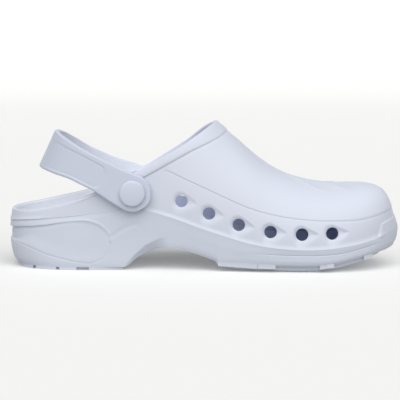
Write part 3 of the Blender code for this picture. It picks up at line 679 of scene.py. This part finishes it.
# Marks up each path: top of the bead, groove, lower edge of the trim
flare_height = HEEL_FLARE_HEIGHT + (FLARE_HEIGHT - HEEL_FLARE_HEIGHT) * eased(plan_x, 70, 95)
bead_top = np.minimum(flare_height, 0.6 * lengths)
trim_edge = lengths - np.minimum(trim_width_at(plan_x), 0.3 * lengths)
over = paths[:, :, 2] - groove_at(paths[:, :, 0])
first = np.where((over > 0).any(axis=1), np.argmax(over > 0, axis=1), PATH_STEPS)
path_numbers = np.arange(len(paths))
below = over[path_numbers, first - 1]
crossing = np.clip(-below / (over[path_numbers, first] - below), 0, 1)
groove_place = (first - 1 + crossing) / PATH_STEPS * lengths
groove_top = bead_top + 0.95 * (trim_edge - bead_top)
groove = (groove_place ** -GROOVE_BLEND + groove_top ** -GROOVE_BLEND) ** (-1 / GROOVE_BLEND)
narrow = np.minimum(1, lengths / 40)
cut = eased(plan_x, *GROOVE_START)
lift = trim_lift_at(plan_x)
groove_low = groove - GROOVE_REACH * narrow
groove_high = groove + GROOVE_REACH * narrow
vamp_end = np.maximum(trim_edge - 1.2 * narrow, groove + 2.2 * narrow)
trim_start = np.maximum(trim_edge + 1.6 * narrow, vamp_end + 0.1 * narrow)
rows = [
    np.linspace(0 * bead_top, bead_top, BEAD_ROWS),
    np.linspace(bead_top, groove_low, SIDE_ROWS)[1:],
    np.linspace(groove_low, groove_high, GROOVE_ROWS)[1:],
    np.linspace(groove_high, vamp_end, VAMP_ROWS)[1:],
    np.linspace(vamp_end, trim_start, TRIM_STEP_ROWS)[1:],
    np.linspace(trim_start, np.maximum(lengths, trim_start), TRIM_ROWS)[1:],
]
places = np.minimum(np.concatenate(rows), lengths).T


def on_wall(places):
    """Points and outward directions at distances up the paths."""
    spot = np.clip(places / lengths[:, None], 0, 1) * PATH_STEPS
    low = np.minimum(spot.astype(int), PATH_STEPS - 1)
    part = (spot - low)[..., None]
    path = path_numbers[:, None]
    point = paths[path, low] * (1 - part) + paths[path, low + 1] * part
    normal = normals[path, low] * (1 - part) + normals[path, low + 1] * part
    return point, normal / np.linalg.norm(normal, axis=-1)[..., None]


skin_points, skin_out = on_wall(places)
marks = {"bead": bead_top, "groove": groove, "trim": trim_edge, "end": lengths, "narrow": narrow, "cut": cut,
         "lift": lift}
mark = {name: value[:, None] for name, value in marks.items()}
flare = (1 - np.clip(places / mark["bead"], 0, 1)) ** 2
flare_reach = SIDE_INSET + FLARE_PROUD - TOE_FLARE_LOSS * eased(plan_x, 250, 262)
flare_reach *= 1 - HEEL_FLARE_LOSS * eased(plan_x, 14, 38) * (1 - eased(plan_x, 74, 98))
raised = -SIDE_INSET + flare_reach[:, None] * flare
vamp_edge = eased(places, mark["groove"] - 0.7 * mark["narrow"], mark["groove"] + 1.1 * mark["narrow"])
raised += VAMP_STEP * mark["cut"] * vamp_edge
groove_line = bump(places, mark["groove"] - 0.8 * mark["narrow"], mark["narrow"])
raised -= (GROOVE_INSET - SIDE_INSET) * mark["cut"] * groove_line
trim_step = eased(places, mark["trim"] - 0.2 * mark["narrow"], mark["trim"] + mark["narrow"])
raised += mark["lift"] * trim_step
trim_crown = bump(places, (mark["trim"] + mark["end"]) / 2, (mark["end"] - mark["trim"]) / 2)
raised += TRIM_CROWN * mark["lift"] * trim_crown
trim_undercut = bump(places, mark["trim"] - 0.5 * mark["narrow"], 0.8 * mark["narrow"])
raised -= TRIM_UNDERCUT * mark["lift"] * trim_undercut

# Toe bumper: a low plate on the tip of the toe above the bead
toe_rise = skin_points[:, :, 2] - bead_at(skin_points[:, :, 0])
bumper_edge = BUMPER_BACK + BUMPER_LEAN * toe_rise
bumper = eased(skin_points[:, :, 0], bumper_edge, bumper_edge + BUMPER_SOFT)
bumper_top = BUMPER_TOP_Z + BUMPER_TOP_RISE * (skin_points[:, :, 0] - BUMPER_TOP_X)
bumper *= 1 - eased(skin_points[:, :, 2], bumper_top - 0.6, bumper_top + 0.6)
raised += (BUMPER_PROUD + BUMPER_FOOT_PROUD * (1 - eased(toe_rise, 0, 9))) * bumper

# Soft pleats run from the instep out over the toe box on both sides
for height, width, pleat in PLEATS:
    for side, start in ((-1, PLEAT_START_NEAR), (1, PLEAT_START_FAR)):
        pleat_line = [(x, float(middle_at(turn_of(x))) - side * y) for x, y in pleat]
        away, along = from_line(skin_points[:, :, :2], pleat_line)
        fade = eased(along, start, start + 0.3) * (1 - eased(along, 0.6, 1))
        raised += height * fade * bump(away, 0, width) * (places > mark["groove"])

# Scoops round the vents: sharp along the top, running out downwards and forwards
vent_bars = []
for x, z, depth in VENTS:
    for side in (-1, 1):
        here = np.argmin(np.abs(turns - turn_of(x)) + 10 * (sides != side))
        outward = np.array((out_x[here], out_y[here], 0.0))
        centre = np.array((x, middle_at(turn_of(x)) + side * half_at(turn_of(x)), z))
        vent_bars.append(round_bar(centre, outward, VENT_RADIUS, -4 * WALL, WALL))
        slope = 0.05 + 0.55 * (bead_at(x + 5) - bead_at(x - 5)) / 10
        forward = np.array((abs(out_y[here]), -side * out_x[here] * np.sign(outward[1] * side), slope))
        forward /= np.linalg.norm(forward)
        upward = np.cross(outward, forward) * np.sign(np.cross(outward, forward)[2])
        offset = skin_points - centre
        ahead = offset @ forward
        above = offset @ upward
        close = np.abs(offset @ outward) < SCOOP_NEAR
        tail = np.clip(ahead / SCOOP_TAIL, 0, 1)
        behind = np.sqrt(np.clip(SCOOP_RADIUS ** 2 - ahead ** 2, 0.01, None))
        top = np.where(ahead < 0, behind, SCOOP_RADIUS * (1 - tail) ** 0.8 + 0.1)
        low = np.where(ahead < 0, behind, SCOOP_RADIUS * (1 - tail) ** 0.7 + 0.1) * SCOOP_LOWER_REACH
        brow = np.clip(1 - (above / top) ** 2, 0, 1)
        ledge = eased(above, -low, 0)
        hollow = np.where(above > 0, brow, ledge) * (1 - tail) ** 0.5
        hollow *= eased(ahead, -SCOOP_RADIUS, -SCOOP_RADIUS + SCOOP_BACK_SOFT)
        lip = 1 - eased(np.hypot(ahead, above), VENT_RADIUS, VENT_RADIUS + VENT_LIP_WIDTH)
        raised -= (depth * hollow + VENT_LIP_DEPTH * lip) * close

outer = skin_points + skin_out * raised[:, :, None]
rim_out = raised[:, -1:]
angles = np.linspace(0, math.pi, RIM_ROWS + 2)[None, 1:-1]
rim_middle = (rim_out - WALL) / 2
rim_half = (rim_out + WALL) / 2
end_way = paths[:, -1] - paths[:, -4]
end_way /= np.linalg.norm(end_way, axis=1)[:, None]
rim = (paths[:, -1:] + normals[:, -1:] * (rim_middle + rim_half * np.cos(angles))[:, :, None]
       + end_way[:, None, :] * (RIM_ROUND * np.sin(angles))[:, :, None])
inner_points, inner_out = on_wall(np.linspace(lengths, 0 * lengths, LINING_ROWS).T)
inner = inner_points - inner_out * WALL
shell = np.concatenate([outer, rim, inner], axis=1)
upper = lofted("clog_upper", list(shell.transpose(1, 0, 2)), closed=True)
# The inside of the shell is the same foam, given painted light at the heel and painted shade towards the toe
inside_painted_skin = foam("upper_inside_painted_light_and_shade", INSIDE_PAINTED_LIGHT, 0.55, 0.12)
paint_inside_light_and_shade(inside_painted_skin, INSIDE_PAINTED_LIGHT, INSIDE_PAINTED_SHADE)
upper.data.materials.append(foam("upper_foam_skin", UPPER_WHITE, 0.42, 0.12))
upper.data.materials.append(inside_painted_skin)
painted_inside_row = outer.shape[1] + RIM_OUTSIDE_ROWS
for face in upper.data.polygons:
    face.material_index = int(face.index // len(turns) >= painted_inside_row)
seats = []
holes = []
for side in (-1, 1):
    centre = np.array((PIVOT_X, seat_face(side), PIVOT_Z))
    seats.append(round_bar(centre, (0, side, 0), SEAT_RADIUS, -SEAT_BACK, 0))
    holes.append(round_bar(centre, (0, side, 0), RIVET_HOLE, -3 * SEAT_BACK, SEAT_BACK))
combine(upper, seats, "UNION")
combine(upper, holes + vent_bars, "DIFFERENCE")
smoothed(upper, 50)
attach(upper, "root")
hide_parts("upper")

# Sole: one moulded EVA cup sole with a raised heel, high arch and toe spring, in the same white but matt.
# The heel has a sunken side panel with a raised lip, the forefoot a rand with a line above it, and flat lugs
# with small pads along the edge stand on the floor. It is moulded or glued to the upper at the bead.
SEAM_GAP = 0.35
SEAM_LINE = 0.06
SOLE_WHITE = (0.68, 0.72, 0.82)
SOLE_SIDE_COLUMNS = ("drop", "back", "heel", "waist", "ball", "toe")
SOLE_SIDE = (
    (0.0, 0.7, 0.9, -0.05, -0.05, 0.0),
    (0.03, 0.5, 0.7, 0.0, 0.0, -0.1),
    (0.1, 0.1, 0.2, 0.2, 0.1, -0.2),
    (0.2, 0.0, 0.0, 0.4, 0.2, -0.2),
    (0.36, 0.1, 0.0, 0.7, 0.4, 0.0),
    (0.58, 0.5, 0.1, 1.2, 1.0, 0.3),
    (0.76, 1.4, 0.3, 1.6, 1.6, 0.8),
    (0.9, 2.8, 0.5, 2.0, 2.4, 1.5),
    (1.0, 5.0, 1.0, 2.6, 4.0, 2.3),
)
SOLE_STATIONS = (6.0, 40.0, 112.0, 175.0, 262.0)
SOLE_HEIGHT_COLUMNS = ("x", "underside", "footbed")
SOLE_HEIGHT = (
    (0.0, 2.2, 23.6),
    (8.0, 2.2, 23.6),
    (60.0, 2.2, 24.4),
    (81.0, 2.2, 25.6),
    (84.6, 3.6, 25.8),
    (88.7, 7.2, 26.0),
    (96.6, 11.6, 26.0),
    (105.2, 14.7, 25.6),
    (112.0, 15.4, 25.2),
    (118.1, 15.0, 24.4),
    (132.5, 10.9, 21.2),
    (140.0, 8.2, 19.2),
    (143.2, 7.0, 18.4),
    (145.2, 4.4, 17.8),
    (158.0, 4.4, 15.4),
    (172.0, 4.2, 13.8),
    (199.0, 4.0, 13.0),
    (213.0, 4.4, 13.2),
    (222.6, 5.6, 13.8),
    (234.4, 8.2, 14.8),
    (244.0, 10.4, 16.2),
    (252.0, 12.2, 17.2),
    (258.4, 13.4, 18.0),
    (265.3, 15.2, 19.0),
    (270.0, 17.0, 20.4),
)

# Heel panel: x and z forwards along its brow, round its front and back along its foot
HEEL_PANEL = (
    (-10.0, 25.6), (0.0, 26.8), (9.5, 28.6), (21.4, 29.7), (35.2, 31.6), (46.0, 33.3),
    (54.0, 33.5), (60.0, 32.6), (64.5, 30.8), (68.3, 27.8), (71.0, 24.0), (71.9, 20.0),
    (71.3, 14.8), (69.4, 10.8), (65.6, 7.2), (60.4, 5.2), (55.3, 4.7), (45.9, 6.2),
    (36.5, 8.3), (27.1, 10.8), (17.7, 14.4), (8.3, 17.4), (0.0, 19.4), (-10.0, 20.5),
)
PANEL_FRONT = 11
PANEL_SAMPLES = 160
PANEL_DEPTH = 0.4
PANEL_BACK_DEPTH = 0.8
BROW_DEPTH = 0.4
LIP_HEIGHT = 0.45
FOOT_LINE_DEPTH = 0.28
BREAST_EDGE = (
    (81.0, 0.0),
    (81.9, 2.0),
    (85.6, 7.4),
    (89.7, 11.8),
    (95.7, 17.2),
    (104.1, 21.5),
    (112.0, 24.0),
)
BREAST_SLOPE = 0.8
WAIST_CREASE = ((72.9, 23.0), (82.3, 29.1), (89.5, 31.7), (94.5, 32.8))
CREASE_DEPTH = 0.35
RAND_DEPTH = 0.6
RAND_LINE_DEPTH = 0.25
RAND_COLUMNS = ("x", "z")
RAND = (
    (170.0, 12.8),
    (182.0, 12.2),
    (202.0, 11.8),
    (217.0, 12.1),
    (228.0, 13.1),
    (239.0, 15.4),
    (250.0, 18.2),
    (259.5, 21.0),
    (270.0, 24.0),
)

# Lugs and edge pads: x from and to, z from and to
LUGS = (
    (9.0, 18.7, 0.0, 0.0),
    (20.7, 35.2, 0.0, 0.0),
    (37.5, 49.2, 0.0, 0.0),
    (57.7, 81.0, 0.0, 0.0),
    (151.0, 158.5, 1.8, 0.6),
    (162.0, 170.0, 0.0, 0.0),
    (173.5, 186.0, 0.0, 0.0),
    (190.0, 201.0, 0.0, 0.0),
    (205.0, 213.0, 0.0, 0.0),
    (217.0, 226.7, 1.0, 3.4),
    (231.0, 241.0, 4.8, 7.2),
    (246.0, 254.6, 8.8, 10.8),
)
EDGE_PADS = (
    (145.0, 171.3, 3.8, 2.5),
    (171.5, 183.5, 2.6, 2.6),
    (212.9, 222.4, 2.6, 3.6),
    (243.0, 249.4, 8.0, 9.6),
)
LUG_POINTS = 7
LUG_MIDDLE_GAP = 4.0
LUG_INSET = 0.1
FOREFOOT_LUG_INSET = 4.3
LUG_ROOT = 2.0
PAD_INSET = 2.2
PAD_REACH = 12.0
PAD_ROOT = 3.0
HEEL_TREAD_DROP = 1.6
FOREFOOT_TREAD_DROP = 3.0
TREAD_PARTS = (1, 0.85, 0.7, 0.55, 0.4, 0.25, 0.06)
BED_PARTS = (0.25, 0.5, 0.75, 1)
FOOTBED_SLACK = 4.4
BED_TAPER = 0.35
underside_at = steady(column(SOLE_HEIGHT, SOLE_HEIGHT_COLUMNS, "x"),
                      column(SOLE_HEIGHT, SOLE_HEIGHT_COLUMNS, "underside"))
footbed_at = steady(column(SOLE_HEIGHT, SOLE_HEIGHT_COLUMNS, "x"),
                    column(SOLE_HEIGHT, SOLE_HEIGHT_COLUMNS, "footbed"))
drop_rows = column(SOLE_SIDE, SOLE_SIDE_COLUMNS, "drop")
side_curves = [steady(drop_rows, column(SOLE_SIDE, SOLE_SIDE_COLUMNS, name))
               for name in SOLE_SIDE_COLUMNS[1:]]


def side_inset(drop):
    """How far the sole's side stands in from the bead at one share of its height."""
    return steady(SOLE_STATIONS, [float(curve(drop)) for curve in side_curves])(plan_x)


def toward_middle(edge, part, height):
    """Ring moved from an edge ring towards the middle line, at the heights that a curve gives."""
    middle_x = 34.0 + (LENGTH - 82.0) * plan_x / LENGTH
    x = edge[:, 0] + (middle_x - edge[:, 0]) * part
    y = edge[:, 1] + (middle_at(turn_of(middle_x)) - edge[:, 1]) * part
    return np.stack([x, y, height(x)], axis=1)


def tread_at(x):
    """Height of the tread's ground between the lugs, which lies lower than the sole's edge."""
    heel = eased(x, 12, 20) * (1 - eased(x, 72, 80))
    forefoot = eased(x, 150, 158) * (1 - eased(x, 244, 256))
    return underside_at(x) - HEEL_TREAD_DROP * heel - FOREFOOT_TREAD_DROP * forefoot


panel_way = np.arange(len(HEEL_PANEL))
panel_fine = np.linspace(0, len(HEEL_PANEL) - 1, PANEL_SAMPLES)
panel_line = np.stack([flowing(panel_way, values)(panel_fine) for values in zip(*HEEL_PANEL)], axis=1)
rand_at = flowing(column(RAND, RAND_COLUMNS, "x"), column(RAND, RAND_COLUMNS, "z"))
sole_top = bead_at(plan_x) - SEAM_LINE
sole_low = underside_at(plan_x)
breast_x, breast_z = np.array(BREAST_EDGE).T
drops = np.concatenate([np.linspace(0, 0.12, 9), np.linspace(0.13, 0.88, 62), np.linspace(0.9, 1, 8)])
side_rings = []
for drop in drops:
    z = sole_top + (sole_low - sole_top) * drop
    spot = np.stack([plan_x, z], axis=1)
    crossings = np.zeros(len(spot), int)
    for (x1, z1), (x2, z2) in zip(panel_line, np.roll(panel_line, -1, axis=0)):
        if z1 != z2:
            crossings += ((z1 > z) != (z2 > z)) & (plan_x < x1 + (z - z1) / (z2 - z1) * (x2 - x1))
    from_brow, _ = from_line(spot, panel_line[panel_fine <= PANEL_FRONT])
    from_foot, _ = from_line(spot, panel_line[panel_fine >= PANEL_FRONT])
    inward = np.where(crossings % 2, from_brow, -from_brow)
    deep = PANEL_DEPTH + PANEL_BACK_DEPTH * (1 - eased(plan_x, 6, 44))
    front = eased(plan_x, 36, 56)
    foot_slope = eased(from_foot, 0, 0.8 + 9 * eased(plan_x, 3, 18))
    sunk = deep * eased(inward, -0.4, 0.5 + 1.5 * front) * foot_slope
    brow = eased(inward, -0.4, 0.5) * (1 - eased(inward, 0.6, 3.0))
    sunk += BROW_DEPTH * (1 - eased(plan_x, 25, 45)) * brow
    lip = LIP_HEIGHT * bump(inward, -0.7, 1.0) * front * eased(z, 8, 20)
    foot = FOOT_LINE_DEPTH * bump(from_foot, 0.0, 0.7)
    from_crease, crease_place = from_line(spot, WAIST_CREASE)
    crease = CREASE_DEPTH * bump(from_crease, 0, 2.6) * (1 - eased(crease_place, 0.7, 1.0))
    from_breast, _ = from_line(spot, BREAST_EDGE)
    under_breast = (z < np.interp(plan_x, breast_x, breast_z)) & (plan_x > breast_x[0])
    breast = BREAST_SLOPE * from_breast * under_breast * (1 - eased(plan_x, 99, 112))
    below_rand = rand_at(plan_x) - z
    band = np.clip((sole_top - z) / np.maximum(sole_top - rand_at(plan_x), 1), 0, 1)
    rand = RAND_DEPTH * band * (1 - eased(below_rand, 0.1, 5.0)) + RAND_LINE_DEPTH * bump(below_rand, 0, 0.7)
    rand *= eased(plan_x, 160, 190) * (1 - eased(plan_x, 244, 256))
    inset = side_inset(drop) + sunk - lip + foot + crease + breast + rand
    side_rings.append(ring(inset, z))
side_rings[-1][:, 2] = underside_at(side_rings[-1][:, 0])
bed_edge = ring(FOOTBED_SLACK + BED_TAPER * side_inset(0.58), 0.0)
bed_edge[:, 2] = footbed_at(bed_edge[:, 0])
sole_rings = [toward_middle(side_rings[-1], part, tread_at) for part in TREAD_PARTS]
sole_rings += [toward_middle(side_rings[-1], 0.05, underside_at)]
sole_rings += side_rings[::-1]
sole_rings += [ring(1.4, sole_top), ring(WALL, sole_top), bed_edge]
sole_rings += [toward_middle(bed_edge, part, footbed_at) for part in BED_PARTS]
sole = lofted("clog_sole", sole_rings, closed=False)
sole.data.materials.append(foam("sole_foam_skin", SOLE_WHITE, 0.5, 0.14))


def lugs_of(table, edge_inset, inner_inset, root):
    """Flat blocks along both edges of the sole, from an outer inset to the middle or an inner inset."""
    blocks = []
    lug_edge = ring(edge_inset, 0.0)
    lug_inner = None if inner_inset is None else ring(inner_inset, 0.0)
    for x_from, x_to, z_from, z_to in table:
        xs = np.linspace(x_from, x_to, LUG_POINTS)
        low_z = np.linspace(z_from, z_to, LUG_POINTS)
        high_z = underside_at(xs) + root
        for side in (-1, 1):
            part = slice(0, UPPER_STEPS + 1) if side < 0 else slice(UPPER_STEPS, None)
            order = np.argsort(lug_edge[part, 0])
            outer_y = np.interp(xs, lug_edge[part, 0][order], lug_edge[part, 1][order])
            inner_y = middle_at(turn_of(xs)) + side * LUG_MIDDLE_GAP
            if lug_inner is not None:
                order = np.argsort(lug_inner[part, 0])
                inner_y = np.interp(xs, lug_inner[part, 0][order], lug_inner[part, 1][order])
            first, second = (outer_y, inner_y) if side < 0 else (inner_y, outer_y)
            flat = np.stack([np.concatenate([xs, xs[::-1]]), np.concatenate([first, second[::-1]])], axis=1)
            lower = np.column_stack([flat, np.concatenate([low_z, low_z[::-1]])])
            higher = np.column_stack([flat, np.concatenate([high_z, high_z[::-1]])])
            blocks.append(prism(lower, higher))
    return blocks


lug_inset = side_inset(1.0) + LUG_INSET + FOREFOOT_LUG_INSET * eased(plan_x, 60, 112)
combine(sole, lugs_of(LUGS, lug_inset, None, LUG_ROOT), "UNION")
combine(sole, lugs_of(EDGE_PADS, PAD_INSET, PAD_REACH, PAD_ROOT), "UNION")
smoothed(sole, 40)
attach(sole, "root")
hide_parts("sole")

# Insole: a loose slab of softer EVA foam with a finely pebbled top, coloured like the inside of the upper:
# painted light at the heel, painted shade towards the toe.
# It lies in the cup of the sole, held only by the walls round it.
INSOLE_THICK = 3.4
INSOLE_GAP = 0.6

# Rings from the underside round the edge to the top: share of the way in, and of the thickness
INSOLE_RINGS = (
    (1, 0),
    (0.5, 0),
    (0.05, 0),
    (0.025, 0.1),
    (0.025, 0.75),
    (0.03, 0.92),
    (0.05, 1),
    (0.25, 1),
    (0.5, 1),
    (0.75, 1),
    (1, 1),
)
insole_rings = []
for part, rise in INSOLE_RINGS:
    insole_rings.append(toward_middle(bed_edge, part, footbed_at) + (0, 0, INSOLE_GAP + rise * INSOLE_THICK))
insole = lofted("clog_insole", insole_rings, closed=False)
# Painted light and shade: paler towards the heel, darker towards the toe
insole_painted_skin = foam("insole_foam_painted_light_and_shade", INSIDE_PAINTED_LIGHT, 0.62, 0.5)
paint_inside_light_and_shade(insole_painted_skin, INSIDE_PAINTED_LIGHT, INSIDE_PAINTED_SHADE)
insole.data.materials.append(insole_painted_skin)
smoothed(insole, 50)
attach(insole, "root")
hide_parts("insole")

# Heel strap: one U-shaped EVA band, swung back and up on its two rivets. A rounded rim runs round its edge,
# and a shallow panel with round corners is sunk in its outer face. The upper edge of its near arm arches a
# little.
STRAP_TILT = math.radians(25.0)
STRAP_LENGTH = 63.6
STRAP_THICK = 4.0
STRAP_END = 12.6
STRAP_POWER = 2.25
STRAP_STEPS = 280
STRAP_END_ROWS = 15
CORNER_POINTS = 7
FACE_POINTS = 41
STRAP_CORNER = 1.3
STRAP_INSIDE_CORNER = 0.9
STRAP_WHITE = (0.62, 0.66, 0.77)
# Inner faces of the band: painted light, paler than its outer foam
STRAP_INSIDE_PAINTED_LIGHT = (0.77, 0.80, 0.88)
STRAP_COLUMNS = ("along", "half_width", "near_rise", "rim_top", "rim_low")
STRAP = (
    (0.0, 12.6, 0.0, 4.0, 2.2),
    (11.0, 11.6, 0.2, 4.0, 2.2),
    (18.0, 10.5, 1.4, 4.0, 2.2),
    (26.0, 9.8, 2.2, 4.0, 2.2),
    (39.0, 9.9, 2.4, 4.0, 2.2),
    (52.0, 11.9, 1.1, 5.0, 2.2),
    (63.6, 14.0, 0.0, 6.6, 2.2),
)
PANEL_FROM = 21.5
PANEL_CORNER = 4.5
PANEL_SINK = 0.3
PANEL_LINE_DEPTH = 0.2
strap_along = column(STRAP, STRAP_COLUMNS, "along")
strap_half_at = steady(strap_along, column(STRAP, STRAP_COLUMNS, "half_width"))
near_rise_at = steady(strap_along, column(STRAP, STRAP_COLUMNS, "near_rise"))
rim_top_at = steady(strap_along, column(STRAP, STRAP_COLUMNS, "rim_top"))
rim_low_at = steady(strap_along, column(STRAP, STRAP_COLUMNS, "rim_low"))
back = np.array((-math.cos(STRAP_TILT), 0.0, math.sin(STRAP_TILT)))
band_up = np.array((math.sin(STRAP_TILT), 0.0, math.cos(STRAP_TILT)))
strap_reach = (seat_face(1) - seat_face(-1)) / 2 + SEAM_GAP
strap_centre = np.array((PIVOT_X, (seat_face(1) + seat_face(-1)) / 2, PIVOT_Z))

# Rows round the band: place along it and to the side, way outwards, and half width
strap_rows = []
end_angles = np.radians(np.linspace(6, 86, STRAP_END_ROWS))
for angle in end_angles:
    strap_rows.append((-STRAP_END * math.cos(angle), -strap_reach, 0.0, -1.0, STRAP_END * math.sin(angle)))
for angle in np.linspace(0, math.pi, STRAP_STEPS + 1):
    side = -np.sign(math.cos(angle))
    along_share = abs(math.sin(angle)) ** (2 / STRAP_POWER)
    side_share = abs(math.cos(angle)) ** (2 / STRAP_POWER)
    out = np.array((along_share ** (STRAP_POWER - 1) / STRAP_LENGTH,
                    side * side_share ** (STRAP_POWER - 1) / strap_reach))
    out /= np.linalg.norm(out)
    along = STRAP_LENGTH * along_share
    strap_rows.append((along, side * strap_reach * side_share, *out, float(strap_half_at(along))))
for angle in end_angles[::-1]:
    strap_rows.append((-STRAP_END * math.cos(angle), strap_reach, 0.0, 1.0, STRAP_END * math.sin(angle)))
corner_turns = np.radians(np.linspace(0, 90, CORNER_POINTS))
strap_points = []
for along, sidestep, out_along, out_side, half in strap_rows:
    corner = min(STRAP_CORNER, 0.35 * half)
    high = half + float(near_rise_at(max(along, 0))) * eased(-sidestep / strap_reach, -0.3, 0.6)
    across = np.concatenate([
        -half + corner - corner * np.cos(corner_turns),
        np.linspace(-half + corner, high - corner, FACE_POINTS + 2)[1:-1],
        high - corner + corner * np.sin(corner_turns),
    ])
    height = np.concatenate([
        STRAP_THICK - corner + corner * np.sin(corner_turns),
        np.full(FACE_POINTS, STRAP_THICK),
        STRAP_THICK - corner + corner * np.cos(corner_turns),
    ])
    from_top = high - float(rim_top_at(max(along, 0))) - across
    from_low = across + half - float(rim_low_at(max(along, 0)))
    from_edge = np.minimum(from_top, from_low)
    from_end = along - PANEL_FROM
    to_edge = PANEL_CORNER - np.minimum(from_edge, PANEL_CORNER)
    to_end = PANEL_CORNER - np.minimum(from_end, PANEL_CORNER)
    in_corner = (to_edge > 0) & (to_end > 0)
    inward = np.where(in_corner, PANEL_CORNER - np.hypot(to_edge, to_end), np.minimum(from_edge, from_end))
    fade = 1 - 0.8 * eased(along, 52, 61)
    sunk = PANEL_SINK * eased(inward, -0.3, 0.7) + PANEL_LINE_DEPTH * bump(inward, 0.2, 0.9)
    height = height - fade * sunk
    under = min(STRAP_INSIDE_CORNER, 0.2 * half)
    edge = np.array((0, 0.3 * under, under))
    across = np.concatenate([across, high - edge, edge[::-1] - half])
    height = np.concatenate([height, [under, 0.3 * under, 0, 0, 0.3 * under, under]])
    spot = strap_centre + along * back + np.array((0, sidestep, 0))
    outward = out_along * back + np.array((0, out_side, 0))
    strap_points.extend(spot + across[:, None] * band_up + height[:, None] * outward)
count = len(across)
strap_faces = [list(range(count))]
for row in range(len(strap_rows) - 1):
    for i in range(count):
        j = (i + 1) % count
        strap_faces.append([row * count + j, row * count + i, (row + 1) * count + i, (row + 1) * count + j])
strap_faces.append([(len(strap_rows) - 1) * count + i for i in range(count)][::-1])
strap = mesh_object("clog_heel_strap", strap_points, strap_faces)
strap.data.materials.append(foam("strap_foam_skin", STRAP_WHITE, 0.42, 0.12))
# The band's inner faces get a paler copy of the foam: painted light
strap.data.materials.append(foam("strap_inside_painted_light", STRAP_INSIDE_PAINTED_LIGHT, 0.5, 0.12))
inside_columns = range(2 * CORNER_POINTS + FACE_POINTS, count - 1)
for face in strap.data.polygons:
    face.material_index = int((face.index - 1) % count in inside_columns)
strap_holes = []
for side in (-1, 1):
    centre = np.array((PIVOT_X, seat_face(side), PIVOT_Z))
    strap_holes.append(round_bar(centre, (0, side, 0), RIVET_HOLE, -SEAT_BACK, 2 * SEAT_BACK))
combine(strap, strap_holes, "DIFFERENCE")
smoothed(strap, 50)
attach(strap, "root")
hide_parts("heel_strap")

# Rivets: two round push rivets of satin white plastic, each with a low domed cap outside, a shank through
# strap and upper, and a flange inside. They hold the strap and let it swing.
CAP_RADIUS = 8.7
RIVET_STEPS = 72
RIVET_WHITE = (0.65, 0.69, 0.80)
cap_base = SEAM_GAP + STRAP_THICK + SEAM_GAP
rivet_back = -SEAT_BACK - SEAM_GAP
RIVET_PROFILE = (
    (rivet_back - 1.6, 0.0),
    (rivet_back - 1.6, 4.2),
    (rivet_back - 1.3, 6.0),
    (rivet_back - 0.8, 7.0),
    (rivet_back, 7.0),
    (rivet_back, 3.6),
    (cap_base, 3.6),
    (cap_base, CAP_RADIUS - 0.3),
    (cap_base + 0.3, CAP_RADIUS),
    (cap_base + 1.5, CAP_RADIUS),
    (cap_base + 2.0, CAP_RADIUS - 0.2),
    (cap_base + 2.35, CAP_RADIUS - 0.7),
    (cap_base + 2.55, CAP_RADIUS - 1.5),
    (cap_base + 2.85, CAP_RADIUS - 4.0),
    (cap_base + 3.0, CAP_RADIUS - 6.5),
    (cap_base + 3.05, 0.0),
)
rivet_skin = foam("rivet_plastic_skin", RIVET_WHITE, 0.34, 0.05)
around = np.linspace(0, 2 * math.pi, RIVET_STEPS, endpoint=False)
for node, side in (("rivet_near", -1), ("rivet_far", 1)):
    points = []
    for out, radius in RIVET_PROFILE:
        x = PIVOT_X + side * radius * np.sin(around)
        z = PIVOT_Z + radius * np.cos(around)
        points.extend(np.stack([x, np.full(RIVET_STEPS, seat_face(side) + side * out), z], axis=1))
    faces = []
    for row in range(len(RIVET_PROFILE) - 1):
        low = row * RIVET_STEPS
        high = low + RIVET_STEPS
        for i in range(RIVET_STEPS):
            j = (i + 1) % RIVET_STEPS
            faces.append([low + i, low + j, high + j, high + i])
    rivet = mesh_object("clog_" + node, points, faces)
    rivet.data.materials.append(rivet_skin)
    smoothed(rivet, 35)
    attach(rivet, "root")
    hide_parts(node)
